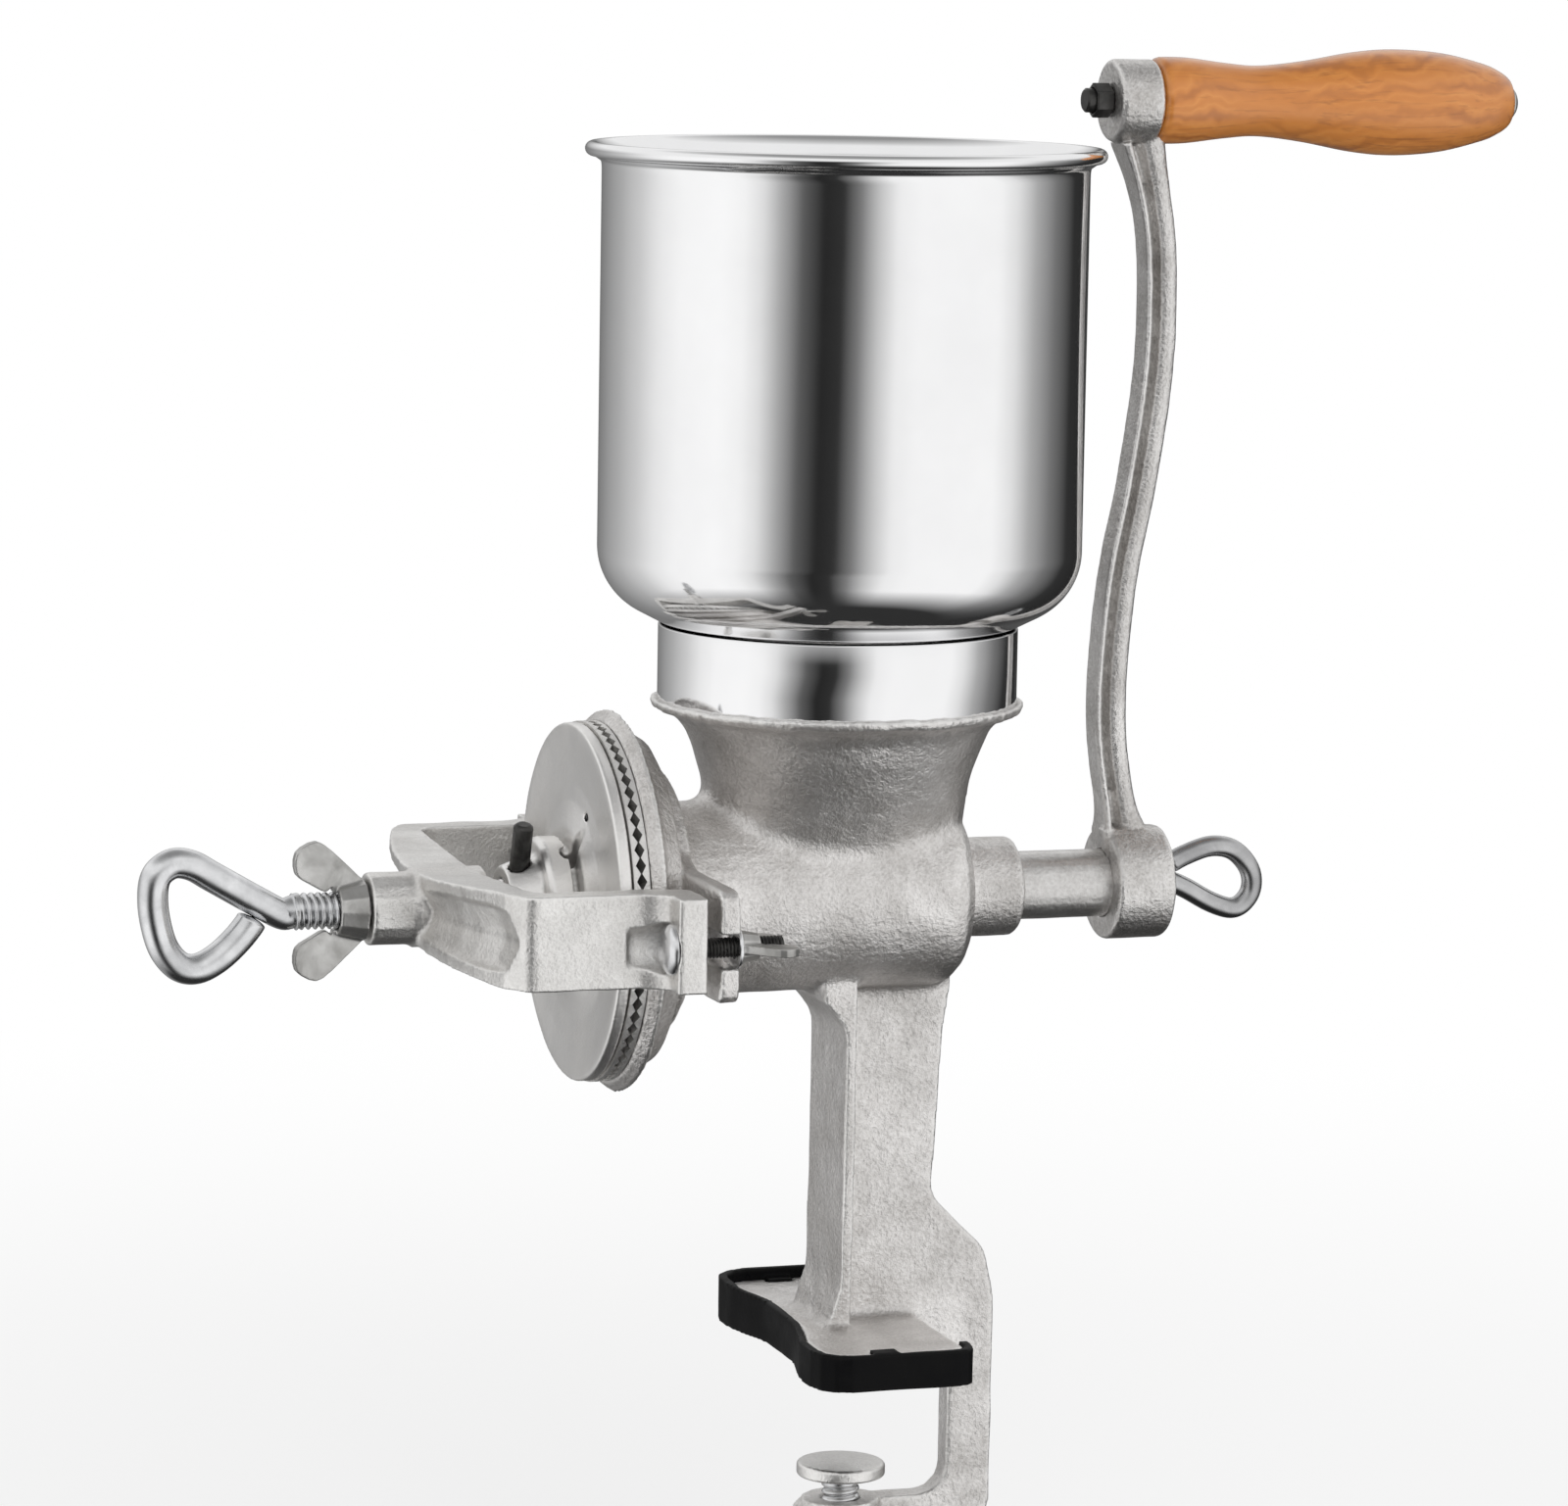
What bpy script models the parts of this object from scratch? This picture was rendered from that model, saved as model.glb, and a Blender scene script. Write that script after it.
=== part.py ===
# Hand crank grain mill: a cast body clamped to a table edge, an auger that feeds
# two toothed burr plates, a yoke with an adjusting screw, and a crank.
# Metres, +Z up. The shaft runs along X with the crank at +X. The origin lies on
# the underside of the rubber foot, straight below the hopper's axis.

import bpy
import bmesh
from math import asin, cos, pi, radians, sin, tan
from mathutils import Vector

# Fits
SEAT_GAP = 0.0003
RUNNING_GAP = 0.0004
LARGE_STEPS = 32
ROUND_STEPS = 28
SHAFT_STEPS = 16
SMALL_STEPS = 12
OVERSHOOT = 0.004

# Shaft line above the table
SHAFT_Z = 0.146

# Barrel and bearing of the body, along the shaft
BARREL_RADIUS = 0.030
BARREL_WALL = 0.005
BARREL_END_X = 0.0388
BARREL_EDGE = 0.0080
END_WALL = 0.0045
BEARING_RADIUS = 0.0155
BEARING_END_X = 0.0585
BEARING_EDGE = 0.0010

# Flange that carries the stationary burr
FLANGE_FACE_X = -0.0761
FLANGE_FACE_RADIUS = 0.0565
FLANGE_RADIUS = 0.0592
FLANGE_THICKNESS = 0.0041
FLANGE_EDGE = 0.0005
BACK_CONE_LENGTH = 0.0078
BACK_CONE_TOP_RADIUS = 0.0550
BACK_CONE_RADIUS = 0.0504
BACK_STEP_RADIUS = 0.0410
BACK_STEP_LENGTH = 0.0062
BACK_FILLET = 0.0040

# Throat between the hopper and the barrel: height above the shaft, half length, half width
THROAT_WALL = 0.0045
RING_RADIUS = 0.0580
RING_TOP = 0.0610
RING_THICKNESS = 0.0028
RING_SEAT_DEPTH = 0.0018
THROAT_SECTIONS = (
    (0.0558, 0.0505, 0.0505),
    (0.0520, 0.0475, 0.0475),
    (0.0460, 0.0450, 0.0445),
    (0.0360, 0.0420, 0.0385),
    (0.0260, 0.0412, 0.0320),
    (0.0160, 0.0408, 0.0258),
    (0.0060, 0.0400, 0.0210),
)

# Ears that take the yoke's bolts
EAR_X = -0.0617
EAR_THICKNESS = 0.0060
EAR_END = 0.0080
EAR_TOP = 0.0160
EAR_BOTTOM = -0.0178
EAR_CORNER = 0.0040
EAR_ROOT_RISE = 0.0050
EAR_ROOT_Y = 0.0300
EAR_ROOT_END_Y = 0.0460
EAR_ROOT_FILLET = 0.0080
EAR_START_Y = 0.0120
EAR_SLOT_DEPTH = 0.0165
EAR_SLOT_SLACK = 0.0020

# Leg: a flange across the shaft and a web along it
LEG_WIDTH = 0.0355
LEG_THICKNESS = 0.0032
LEG_X = 0.0011
LEG_LEAN = 0.0004
LEG_TOP_FLARE = 0.0075
LEG_TOP_FLARE_LENGTH = 0.0090
LEG_FOOT_FLARE = 0.0043
LEG_FOOT_FLARE_LENGTH = 0.0130
LEG_ROOT_DROP = 0.0015
LEG_SHOULDER_FILLET = 0.0020
LEG_ROOT_FILLET = 0.0100
LEG_FOOT_FILLET = 0.0160
WEB_THICKNESS = 0.0090
WEB_TOP_X = 0.0358
WEB_TOP_DROP = 0.0140
WEB_ROOT_FLARE = 0.0022
WEB_WAIST_X = 0.0330
WEB_WAIST_Z = 0.0485
FRAME_BACK_X = 0.0546
FRAME_BEND_X = 0.0512
FRAME_BEND_Z = 0.0310
FRAME_SHOULDER_Z = 0.0160
FRAME_INNER_X = 0.0400
FRAME_INNER_DROP = 0.0040
WEB_ROOT_FILLET = 0.0060
WEB_TOP_FILLET = 0.0200
WEB_WAIST_FILLET = 0.0100
FRAME_BEND_FILLET = 0.0120
FRAME_SHOULDER_FILLET = 0.0300
FRAME_BOTTOM_FILLET = 0.0160
FRAME_INNER_FILLET = 0.0090
FRAME_FOOT_FILLET = 0.0040

# Lower arm of the clamp, under the table
TABLE_OPENING = 0.0480
ARM_DEPTH = 0.0200
ARM_TIP_X = -0.0090
ARM_TIP_RISE = 0.0030
ARM_TIP_FILLET = 0.0060
ARM_TIP_TOP_FILLET = 0.0050
CLAMP_X = 0.0060
CLAMP_BOSS_RADIUS = 0.0125
CLAMP_BOSS_PROUD = 0.0035

# Foot plate and its rubber boot
FOOT_LEFT_X = -0.0175
FOOT_RIGHT_X = 0.0278
FOOT_HALF_WIDTH = 0.0536
FOOT_THICKNESS = 0.0060
FOOT_CORNER = 0.0085
FOOT_WAIST = 0.0050
FOOT_SINK = 0.0020
BOOT_FLOOR = 0.0047
BOOT_WALL = 0.0026
BOOT_FRONT_LIP = 0.0002
BOOT_REAR_LIP = 0.0034
BOOT_HOOK = 0.0080
NOTCH_X = 0.0015
NOTCH_WIDTH = 0.0080
NOTCH_DEPTH = 0.0040

# Hopper: sheet metal bowl, with a neck band that stands in the body's ring
SHEET = 0.0009
NECK_RADIUS = 0.0558
NECK_TOP = 0.0840
SPOUT_LENGTH = 0.0120
BOWL_RADIUS = 0.0750
BOWL_SHOULDER_RADIUS = 0.0220
BOWL_SHOULDER_ANGLE = radians(62)
BOWL_RIM = 0.2300
RIM_BEAD_RADIUS = 0.0022
RIM_OVERHANG = 0.0030

# Shaft and auger
SHAFT_RADIUS = 0.0107
SHAFT_END_X = 0.1040
AUGER_CLEARANCE = 0.0008
AUGER_PITCH = 0.0300
AUGER_FLIGHT = 0.0045
AUGER_LEFT_X = -0.0700
JOURNAL_RADIUS = 0.0080
WASHER_THICKNESS = 0.0020
WASHER_RADIUS = 0.0190

# Burr plates
BURR_RADIUS = 0.0556
BURR_BORE = 0.0256
BURR_BASE = 0.0009
TOOTH_HEIGHT = 0.0014
TOOTH_COUNT = 72
TOOTH_START_RADIUS = 0.0350
BURR_TIP_GAP = 0.0004
BURR_SCREW_RADIUS = 0.0304
BURR_SCREW_TURN = radians(27)
SCREW_SHANK = 0.0020
SCREW_HEAD = 0.0034
SCREW_HEAD_HEIGHT = 0.0010
SCREW_DEPTH = 0.0030

# Rotor disc
ROTOR_RADIUS = 0.0552
ROTOR_RIM = 0.0039
ROTOR_BOSS_RADIUS = 0.0235
ROTOR_HUB_RADIUS = 0.0205
ROTOR_HUB_LENGTH = 0.0119
ROTOR_GROOVE_RADIUS = 0.0172
ROTOR_GROOVE_SETBACK = 0.0019
ROTOR_GROOVE_WIDTH = 0.0025
ROTOR_NECK_RADIUS = 0.0156
ROTOR_NECK_TIP_RADIUS = 0.0118
ROTOR_NECK_LENGTH = 0.0100
ROTOR_DISH = 0.0012
ROTOR_EDGE = 0.0005
ROTOR_RIM_BAND = 0.0030
ROTOR_DISH_START = 0.0110
ROTOR_DISH_END = 0.0188
ROTOR_FILLET_REACH = 0.0080
ROTOR_FILLET_FOOT = 0.0030
ROTOR_FILLET_RISE = 0.0010
ROTOR_HUB_EDGE = 0.0015
OIL_HOLE_RADIUS = 0.0033
OIL_HOLE_SETBACK = 0.0034
OIL_HOLE_TURN = radians(32)

# Drive pin through the shaft and the rotor's hub
PIN_RADIUS = 0.0032
PIN_HALF_LENGTH = 0.0272
PIN_FROM_NECK_FACE = 0.0046
PIN_TURN = radians(18)

# Yoke
BRIDGE_INNER_X = -0.1165
BRIDGE_THICKNESS = 0.0195
BRIDGE_END_THICKNESS = 0.0085
BRIDGE_END_Y = 0.0660
INNER_BOSS_LENGTH = 0.0030
YOKE_HALF_HEIGHT = 0.0142
BRIDGE_WAIST = 0.0027
BRIDGE_WAIST_Y = 0.0120
BRIDGE_WAIST_END_Y = 0.0600
ARM_OUTER_Y = 0.0748
ARM_WALL = 0.0085
YOKE_CORNER = 0.0050
FLARE_X = -0.0835
LUG_THICKNESS = 0.0090
LUG_END = 0.0080
LUG_STEP = 0.0080
LUG_TO_EAR = 0.0040
SPOT_DEPTH = 0.0004
SPOT_LENGTH = 0.0120
YOKE_EDGE = 0.0012
CHANNEL_DEPTH = 0.0060
CHANNEL_RADIUS = 0.0125
CHANNEL_FRONT_Y = -0.0640
CHANNEL_MIDDLE_SCALE = 0.72
CHANNEL_FULL_Y = 0.0400
YOKE_BOSS_RADIUS = 0.0113
YOKE_BOSS_END_X = -0.1502

# Adjusting screw and its lock nut
SCREW_RADIUS = 0.0057
SCREW_END_X = -0.1720
EYE_ROD_RADIUS = 0.0048
ADJUSTING_EYE = (
    (0.0040, 0.0000),
    (0.0110, 0.0032),
    (0.0280, 0.0130),
    (0.0375, 0.0168),
    (0.0435, 0.0120),
    (0.0440, 0.0030),
    (0.0410, -0.0100),
    (0.0345, -0.0170),
    (0.0260, -0.0155),
    (0.0150, -0.0047),
)
THRUST_PAD_RADIUS = 0.0050
THRUST_PAD_LENGTH = 0.0026
THRUST_CUP_DEPTH = 0.0012
SHAFT_PROUD = 0.0010
LOCK_NUT_RADIUS = 0.0098
LOCK_NUT_LENGTH = 0.0085
LOCK_NUT_GAP = 0.0008
LOCK_WING_SPAN = 0.0222
LOCK_WING_SWEEP = 0.0218
LOCK_WING_THICKNESS = 0.0036
WING_SETBACK = 0.0002
WING_CORNER = 0.0040
NUT_TAPER = 0.78

# Carriage bolts, washers and wing nuts of the yoke
BOLT_Y = 0.0800
BOLT_Z = -0.0018
BOLT_RADIUS = 0.0031
BOLT_HEAD_RADIUS = 0.0078
BOLT_HEAD_HEIGHT = 0.0036
BOLT_NECK = 0.0034
BOLT_NECK_LENGTH = 0.0040
BOLT_END_X = -0.0430
SMALL_WASHER_RADIUS = 0.0068
SMALL_WASHER_THICKNESS = 0.0012
SMALL_NUT_RADIUS = 0.0052
SMALL_NUT_LENGTH = 0.0060
SMALL_WING_SPAN = 0.0157
SMALL_WING_SWEEP = 0.0154
SMALL_WING_THICKNESS = 0.0026

# Crank
CRANK_HUB_X = 0.0893
CRANK_HUB_LENGTH = 0.0191
CRANK_HUB_RADIUS = 0.0179
CRANK_HUB_EDGE = 0.0012
SHAFT_FLAT_DEPTH = 0.0020
SHAFT_FLAT_START = 0.0020
GRIP_HEIGHT = 0.2462
ARM_FLANGE = 0.0042
ARM_DEPTH_X = 0.0122
ARM_FLANGE_WIDTH = 0.0142
ARM_STEM_WIDTH = 0.0086
ARM_TIP_SCALE = 0.75
CRANK_CENTRELINE = (
    (0.0960, 0.0100),
    (0.0900, 0.0486),
    (0.0908, 0.0813),
    (0.0934, 0.1040),
    (0.0976, 0.1245),
    (0.1029, 0.1633),
    (0.1029, 0.1983),
    (0.0996, 0.2180),
    (0.0930, 0.2345),
)
GRIP_BOSS_X = 0.0862
GRIP_BOSS_LENGTH = 0.0142
GRIP_BOSS_RADIUS = 0.0128

# Eye bolt that holds the crank on the shaft
EYE_BOLT_RADIUS = 0.0033
EYE_BOLT_DEPTH = 0.0220
CRANK_EYE = (
    (0.0030, -0.0002),
    (0.0095, -0.0026),
    (0.0190, -0.0078),
    (0.0270, -0.0098),
    (0.0322, -0.0050),
    (0.0320, 0.0022),
    (0.0262, 0.0088),
    (0.0182, 0.0104),
    (0.0085, 0.0064),
)

# Wooden grip on its spindle
GRIP_LENGTH = 0.1205
GRIP_PROFILE = (
    (0.000, 0.0128),
    (0.003, 0.0137),
    (0.011, 0.0134),
    (0.024, 0.0118),
    (0.035, 0.0112),
    (0.050, 0.0128),
    (0.067, 0.0157),
    (0.081, 0.0167),
    (0.097, 0.0156),
    (0.111, 0.0124),
    (0.1175, 0.0098),
    (0.1205, 0.0070),
)
SPINDLE_RADIUS = 0.0038
SPINDLE_CAP_RADIUS = 0.0053
SPINDLE_CAP_LENGTH = 0.0030
NUT_FLATS = 0.0095
NUT_LENGTH = 0.0055
SPINDLE_TAIL = 0.0085

# Table clamp screw
CLAMP_SCREW_RADIUS = 0.0060
CLAMP_SCREW_DROP = 0.0560
CLAMP_EYE_ROD = 0.0042
SCREW_ROOT = 0.0050
CLAMP_EYE = (
    (0.0040, 0.0000),
    (0.0150, 0.0086),
    (0.0290, 0.0175),
    (0.0400, 0.0118),
    (0.0430, -0.0057),
    (0.0340, -0.0181),
    (0.0220, -0.0148),
    (0.0120, -0.0099),
)
PAD_RADIUS = 0.0140
PAD_THICKNESS = 0.0055
PAD_SOCKET = 0.0030
PAD_CLEAR = 0.0060


def clear_scene():
    for obj in list(bpy.data.objects):
        bpy.data.objects.remove(obj, do_unlink=True)


def new_collection(name):
    collection = bpy.data.collections.new(name)
    bpy.context.scene.collection.children.link(collection)
    return collection


def material(name, colour, roughness, metallic):
    made = bpy.data.materials.new(name)
    made.use_nodes = True
    shader = made.node_tree.nodes["Principled BSDF"]
    shader.inputs["Base Color"].default_value = (*colour, 1)
    shader.inputs["Roughness"].default_value = roughness
    shader.inputs["Metallic"].default_value = metallic
    return made


def smooth(obj, angle=35):
    obj.data.shade_smooth()
    obj.data.set_sharp_from_angle(angle=radians(angle))


def link(obj, collection):
    collection.objects.link(obj)
    return obj


def lay_along_shaft(obj, height=SHAFT_Z, side=0.0):
    """Turns a piece's own Z axis onto the shaft's line, +X."""
    obj.rotation_euler = (0, pi / 2, 0)
    obj.location = (0, side, height)


def turned(name, profile, collection, steps=ROUND_STEPS, ring=False):
    """A turned shape from (radius, height) pairs, run down the outer side."""
    mesh = bpy.data.meshes.new(name)
    edges = [(i, i + 1) for i in range(len(profile) - 1)]
    if ring:
        edges.append((len(profile) - 1, 0))
    mesh.from_pydata([(radius, 0, height) for radius, height in profile], edges, [])
    obj = link(bpy.data.objects.new(name, mesh), collection)
    screw = obj.modifiers.new("Turned", "SCREW")
    screw.steps = steps
    screw.render_steps = steps
    screw.use_merge_vertices = True
    screw.merge_threshold = 0.00001
    screw.use_smooth_shade = True
    return obj


def rounded(corners, steps=3):
    """Outline points from (x, y, radius) corners, each radius an arc."""
    points = []
    for i, (x, y, radius) in enumerate(corners):
        here = Vector((x, y))
        before = Vector(corners[i - 1][:2]) - here
        after = Vector(corners[(i + 1) % len(corners)][:2]) - here
        if radius == 0:
            points.append(tuple(here))
            continue
        half = before.angle(after) / 2
        reach = min(radius / tan(half), 0.49 * before.length, 0.49 * after.length)
        radius = reach * tan(half)
        start = here + before.normalized() * reach
        end = here + after.normalized() * reach
        centre = here + (before.normalized() + after.normalized()).normalized() * radius / sin(half)
        for j in range(steps + 1):
            spoke = (start - centre).slerp(end - centre, j / steps).normalized() * radius
            points.append(tuple(centre + spoke))
    return points


def curve_to_mesh(curve_obj, collection):
    """The curve's evaluated tube or plate as a closed mesh object."""
    bpy.context.view_layer.update()
    depsgraph = bpy.context.evaluated_depsgraph_get()
    mesh = bpy.data.meshes.new_from_object(curve_obj.evaluated_get(depsgraph))
    builder = bmesh.new()
    builder.from_mesh(mesh)
    bmesh.ops.remove_doubles(builder, verts=builder.verts, dist=0.000001)
    bmesh.ops.recalc_face_normals(builder, faces=builder.faces)
    builder.to_mesh(mesh)
    builder.free()
    name = curve_obj.name
    matrix = curve_obj.matrix_world.copy()
    bpy.data.objects.remove(curve_obj, do_unlink=True)
    obj = link(bpy.data.objects.new(name, mesh), collection)
    obj.name = name
    obj.matrix_world = matrix
    return obj


def plate(name, outline, thickness, collection, plane="XY", at=0.0):
    """A flat outline with a thickness, centred on the plane at the given offset."""
    curve = bpy.data.curves.new(name, "CURVE")
    curve.dimensions = "2D"
    curve.fill_mode = "BOTH"
    curve.extrude = thickness / 2
    spline = curve.splines.new("POLY")
    spline.points.add(len(outline) - 1)
    for point, (x, y) in zip(spline.points, outline):
        point.co = (x, y, 0, 1)
    spline.use_cyclic_u = True
    obj = link(bpy.data.objects.new(name, curve), collection)
    if plane == "XZ":
        obj.rotation_euler = (pi / 2, 0, 0)
        obj.location = (0, at, 0)
    elif plane == "YZ":
        obj.rotation_euler = (pi / 2, 0, pi / 2)
        obj.location = (at, 0, 0)
    else:
        obj.location = (0, 0, at)
    return curve_to_mesh(obj, collection)


def rod(name, points, radius, collection, height=0.0, scales=None):
    """A bent round rod through the points, counted from the given height. Scales thin it at each point."""
    curve = bpy.data.curves.new(name, "CURVE")
    curve.dimensions = "3D"
    curve.bevel_depth = radius
    curve.bevel_resolution = 2
    curve.use_fill_caps = True
    curve.resolution_u = 3
    spline = curve.splines.new("BEZIER")
    spline.bezier_points.add(len(points) - 1)
    for point, place, scale in zip(spline.bezier_points, points, scales or [1.0] * len(points)):
        point.co = place
        point.radius = scale
        point.handle_left_type = "AUTO"
        point.handle_right_type = "AUTO"
    obj = link(bpy.data.objects.new(name, curve), collection)
    obj.location.z = height
    made = curve_to_mesh(obj, collection)
    smooth(made, 50)
    return made


def lofted(name, sections, collection, steps=LARGE_STEPS):
    """Elliptic sections (height, half length, half width), top first, joined and capped."""
    builder = bmesh.new()
    rings = []
    for height, half_x, half_y in sections:
        ring = []
        for i in range(steps):
            turn = 2 * pi * i / steps
            ring.append(builder.verts.new((half_x * cos(turn), half_y * sin(turn), height)))
        rings.append(ring)
    for upper, lower in zip(rings, rings[1:]):
        for i in range(steps):
            j = (i + 1) % steps
            builder.faces.new((upper[i], lower[i], lower[j], upper[j]))
    builder.faces.new(rings[0])
    builder.faces.new(rings[-1][::-1])
    bmesh.ops.recalc_face_normals(builder, faces=builder.faces)
    mesh = bpy.data.meshes.new(name)
    builder.to_mesh(mesh)
    builder.free()
    return link(bpy.data.objects.new(name, mesh), collection)


def box(name, low, high, collection):
    builder = bmesh.new()
    bmesh.ops.create_cube(builder, size=1)
    low, high = Vector(low), Vector(high)
    size = high - low
    bmesh.ops.scale(builder, vec=size, verts=builder.verts)
    mesh = bpy.data.meshes.new(name)
    builder.to_mesh(mesh)
    builder.free()
    obj = link(bpy.data.objects.new(name, mesh), collection)
    obj.location = (low + high) / 2
    return obj


def cylinder(name, radius, low, high, collection, steps=SMALL_STEPS):
    """A plain cylinder on its own Z axis, from one height to the other."""
    return turned(name, [(0, high), (radius, high), (radius, low), (0, low)], collection, steps)


def bevel(obj, width):
    modifier = obj.modifiers.new("Rounded edges", "BEVEL")
    modifier.width = width
    modifier.segments = 1
    modifier.limit_method = "ANGLE"
    modifier.angle_limit = radians(35)


def combine(obj, tool, operation):
    tool.hide_render = True
    tool.display_type = "WIRE"
    modifier = obj.modifiers.new(tool.name, "BOOLEAN")
    modifier.operation = operation
    modifier.solver = "EXACT"
    modifier.object = tool


def join(obj, *tools):
    for tool in tools:
        combine(obj, tool, "UNION")


def cut(obj, *tools):
    for tool in tools:
        combine(obj, tool, "DIFFERENCE")


def arc(centre_across, centre_along, radius, start, end, steps):
    """(across, along) points on part of a circle, both ends included."""
    points = []
    for i in range(steps + 1):
        turn = start + (end - start) * i / steps
        points.append((centre_across + radius * sin(turn), centre_along + radius * cos(turn)))
    return points


def carried_on(name, place, parent, objects):
    """An empty on a joint's axis, with the pieces that move about it."""
    carrier = bpy.data.objects.new(name, None)
    bpy.context.scene.collection.objects.link(carrier)
    carrier.location = place
    carrier.empty_display_size = 0.02
    bpy.context.view_layer.update()
    for obj in objects:
        obj.parent = carrier
        obj.matrix_parent_inverse = carrier.matrix_world.inverted()
    if parent:
        carrier.parent = parent
        carrier.matrix_parent_inverse = parent.matrix_world.inverted()
    return carrier


def finish(obj, look):
    obj.data.materials.clear()
    obj.data.materials.append(look)
    return obj


# Heights and lengths that several pieces share
BORE_RADIUS = BARREL_RADIUS - BARREL_WALL
BORE_END_X = BARREL_END_X - END_WALL
FOOT_BOTTOM_Z = BOOT_FLOOR + SEAT_GAP
FOOT_TOP_Z = FOOT_BOTTOM_Z + FOOT_THICKNESS
ARM_TOP_Z = -TABLE_OPENING
ARM_BOTTOM_Z = ARM_TOP_Z - ARM_DEPTH
FLANGE_BACK_X = FLANGE_FACE_X + FLANGE_THICKNESS
STATIONARY_BACK_X = FLANGE_FACE_X - SEAT_GAP
BURR_THICKNESS = BURR_BASE + TOOTH_HEIGHT
ROTATING_BACK_X = STATIONARY_BACK_X - 2 * BURR_THICKNESS - BURR_TIP_GAP
ROTOR_RIGHT_X = ROTATING_BACK_X - SEAT_GAP
ROTOR_LEFT_X = ROTOR_RIGHT_X - ROTOR_RIM
HUB_FACE_X = ROTOR_LEFT_X - ROTOR_HUB_LENGTH
NECK_FACE_X = HUB_FACE_X - ROTOR_NECK_LENGTH
PIN_X = NECK_FACE_X + PIN_FROM_NECK_FACE
SHAFT_START_X = NECK_FACE_X - SHAFT_PROUD
BRIDGE_OUTER_X = BRIDGE_INNER_X - BRIDGE_THICKNESS
INNER_BOSS_X = BRIDGE_INNER_X + INNER_BOSS_LENGTH
THRUST_PAD_X = SHAFT_START_X + THRUST_CUP_DEPTH - SEAT_GAP
SCREW_TIP_X = THRUST_PAD_X - THRUST_PAD_LENGTH - SEAT_GAP
LUG_RIGHT_X = EAR_X - EAR_THICKNESS / 2 - LUG_TO_EAR
LUG_LEFT_X = LUG_RIGHT_X - LUG_THICKNESS
LUG_REACH = BOLT_Y + LUG_END
EAR_REACH = BOLT_Y + EAR_END
SPOT_FACE_X = LUG_LEFT_X + SPOT_DEPTH
EAR_RIGHT_X = EAR_X + EAR_THICKNESS / 2
WASHER_LEFT_X = EAR_RIGHT_X + SEAT_GAP
SMALL_NUT_X = WASHER_LEFT_X + SMALL_WASHER_THICKNESS + SEAT_GAP
CRANK_HUB_END_X = CRANK_HUB_X + CRANK_HUB_LENGTH
GRIP_START_X = GRIP_BOSS_X + GRIP_BOSS_LENGTH + SEAT_GAP
GRIP_Z = SHAFT_Z + GRIP_HEIGHT


def foot_outline(grow):
    """The foot's plan outline, grown outward; its left side draws in at the middle."""
    left, right = FOOT_LEFT_X - grow, FOOT_RIGHT_X + grow
    half = FOOT_HALF_WIDTH + grow
    corner = FOOT_CORNER + grow
    waist = left + FOOT_WAIST
    return rounded(
        [
            (right, -half, corner / 2),
            (right, half, corner / 2),
            (left, half, corner),
            (left, half * 0.62, 0.02),
            (waist, half * 0.25, 0.03),
            (waist, -half * 0.25, 0.03),
            (left, -half * 0.62, 0.02),
            (left, -half, corner),
        ]
    )


def barrel_profile():
    step_x = FLANGE_BACK_X + BACK_CONE_LENGTH
    step_end_x = step_x + BACK_STEP_LENGTH
    return [
        (0, BEARING_END_X),
        (BEARING_RADIUS - BEARING_EDGE, BEARING_END_X),
        (BEARING_RADIUS, BEARING_END_X - BEARING_EDGE),
        (BEARING_RADIUS, BARREL_END_X),
        *arc(BARREL_RADIUS - BARREL_EDGE, BARREL_END_X - BARREL_EDGE, BARREL_EDGE, 0, pi / 2, 3),
        (BARREL_RADIUS, step_end_x + BACK_FILLET),
        (BARREL_RADIUS + BACK_FILLET * 0.3, step_end_x + BACK_FILLET * 0.3),
        (BARREL_RADIUS + BACK_FILLET, step_end_x),
        (BACK_STEP_RADIUS, step_end_x),
        (BACK_STEP_RADIUS, step_x),
        (BACK_CONE_RADIUS, step_x),
        (BACK_CONE_TOP_RADIUS, FLANGE_BACK_X),
        (FLANGE_RADIUS - FLANGE_EDGE, FLANGE_BACK_X),
        (FLANGE_RADIUS, FLANGE_BACK_X - FLANGE_EDGE),
        (FLANGE_FACE_RADIUS, FLANGE_FACE_X + FLANGE_EDGE),
        (FLANGE_FACE_RADIUS - FLANGE_EDGE, FLANGE_FACE_X),
        (0, FLANGE_FACE_X),
    ]


def bore_profile():
    shaft_bore = SHAFT_RADIUS + RUNNING_GAP
    return [
        (0, BEARING_END_X + OVERSHOOT),
        (shaft_bore, BEARING_END_X + OVERSHOOT),
        (shaft_bore, BORE_END_X),
        (BORE_RADIUS, BORE_END_X),
        (BORE_RADIUS, FLANGE_FACE_X - OVERSHOOT),
        (0, FLANGE_FACE_X - OVERSHOOT),
    ]


def throat_outside():
    top = [
        (RING_TOP, RING_RADIUS - 0.0006, RING_RADIUS - 0.0006),
        (RING_TOP - 0.0008, RING_RADIUS, RING_RADIUS),
        (RING_TOP - RING_THICKNESS, RING_RADIUS - 0.0008, RING_RADIUS - 0.0008),
    ]
    return [(SHAFT_Z + z, half_x, half_y) for z, half_x, half_y in top + list(THROAT_SECTIONS)]


def throat_inside():
    mouth = THROAT_SECTIONS[0][1] - THROAT_WALL * 0.3
    sections = [(SHAFT_Z + RING_TOP + OVERSHOOT, mouth, mouth)]
    for z, half_x, half_y in THROAT_SECTIONS:
        wall_x = THROAT_WALL if half_x < mouth else THROAT_WALL * 0.3
        half_y = min(half_y - wall_x, half_y)
        sections.append((SHAFT_Z + z, half_x - wall_x, half_y))
    return sections


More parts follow.
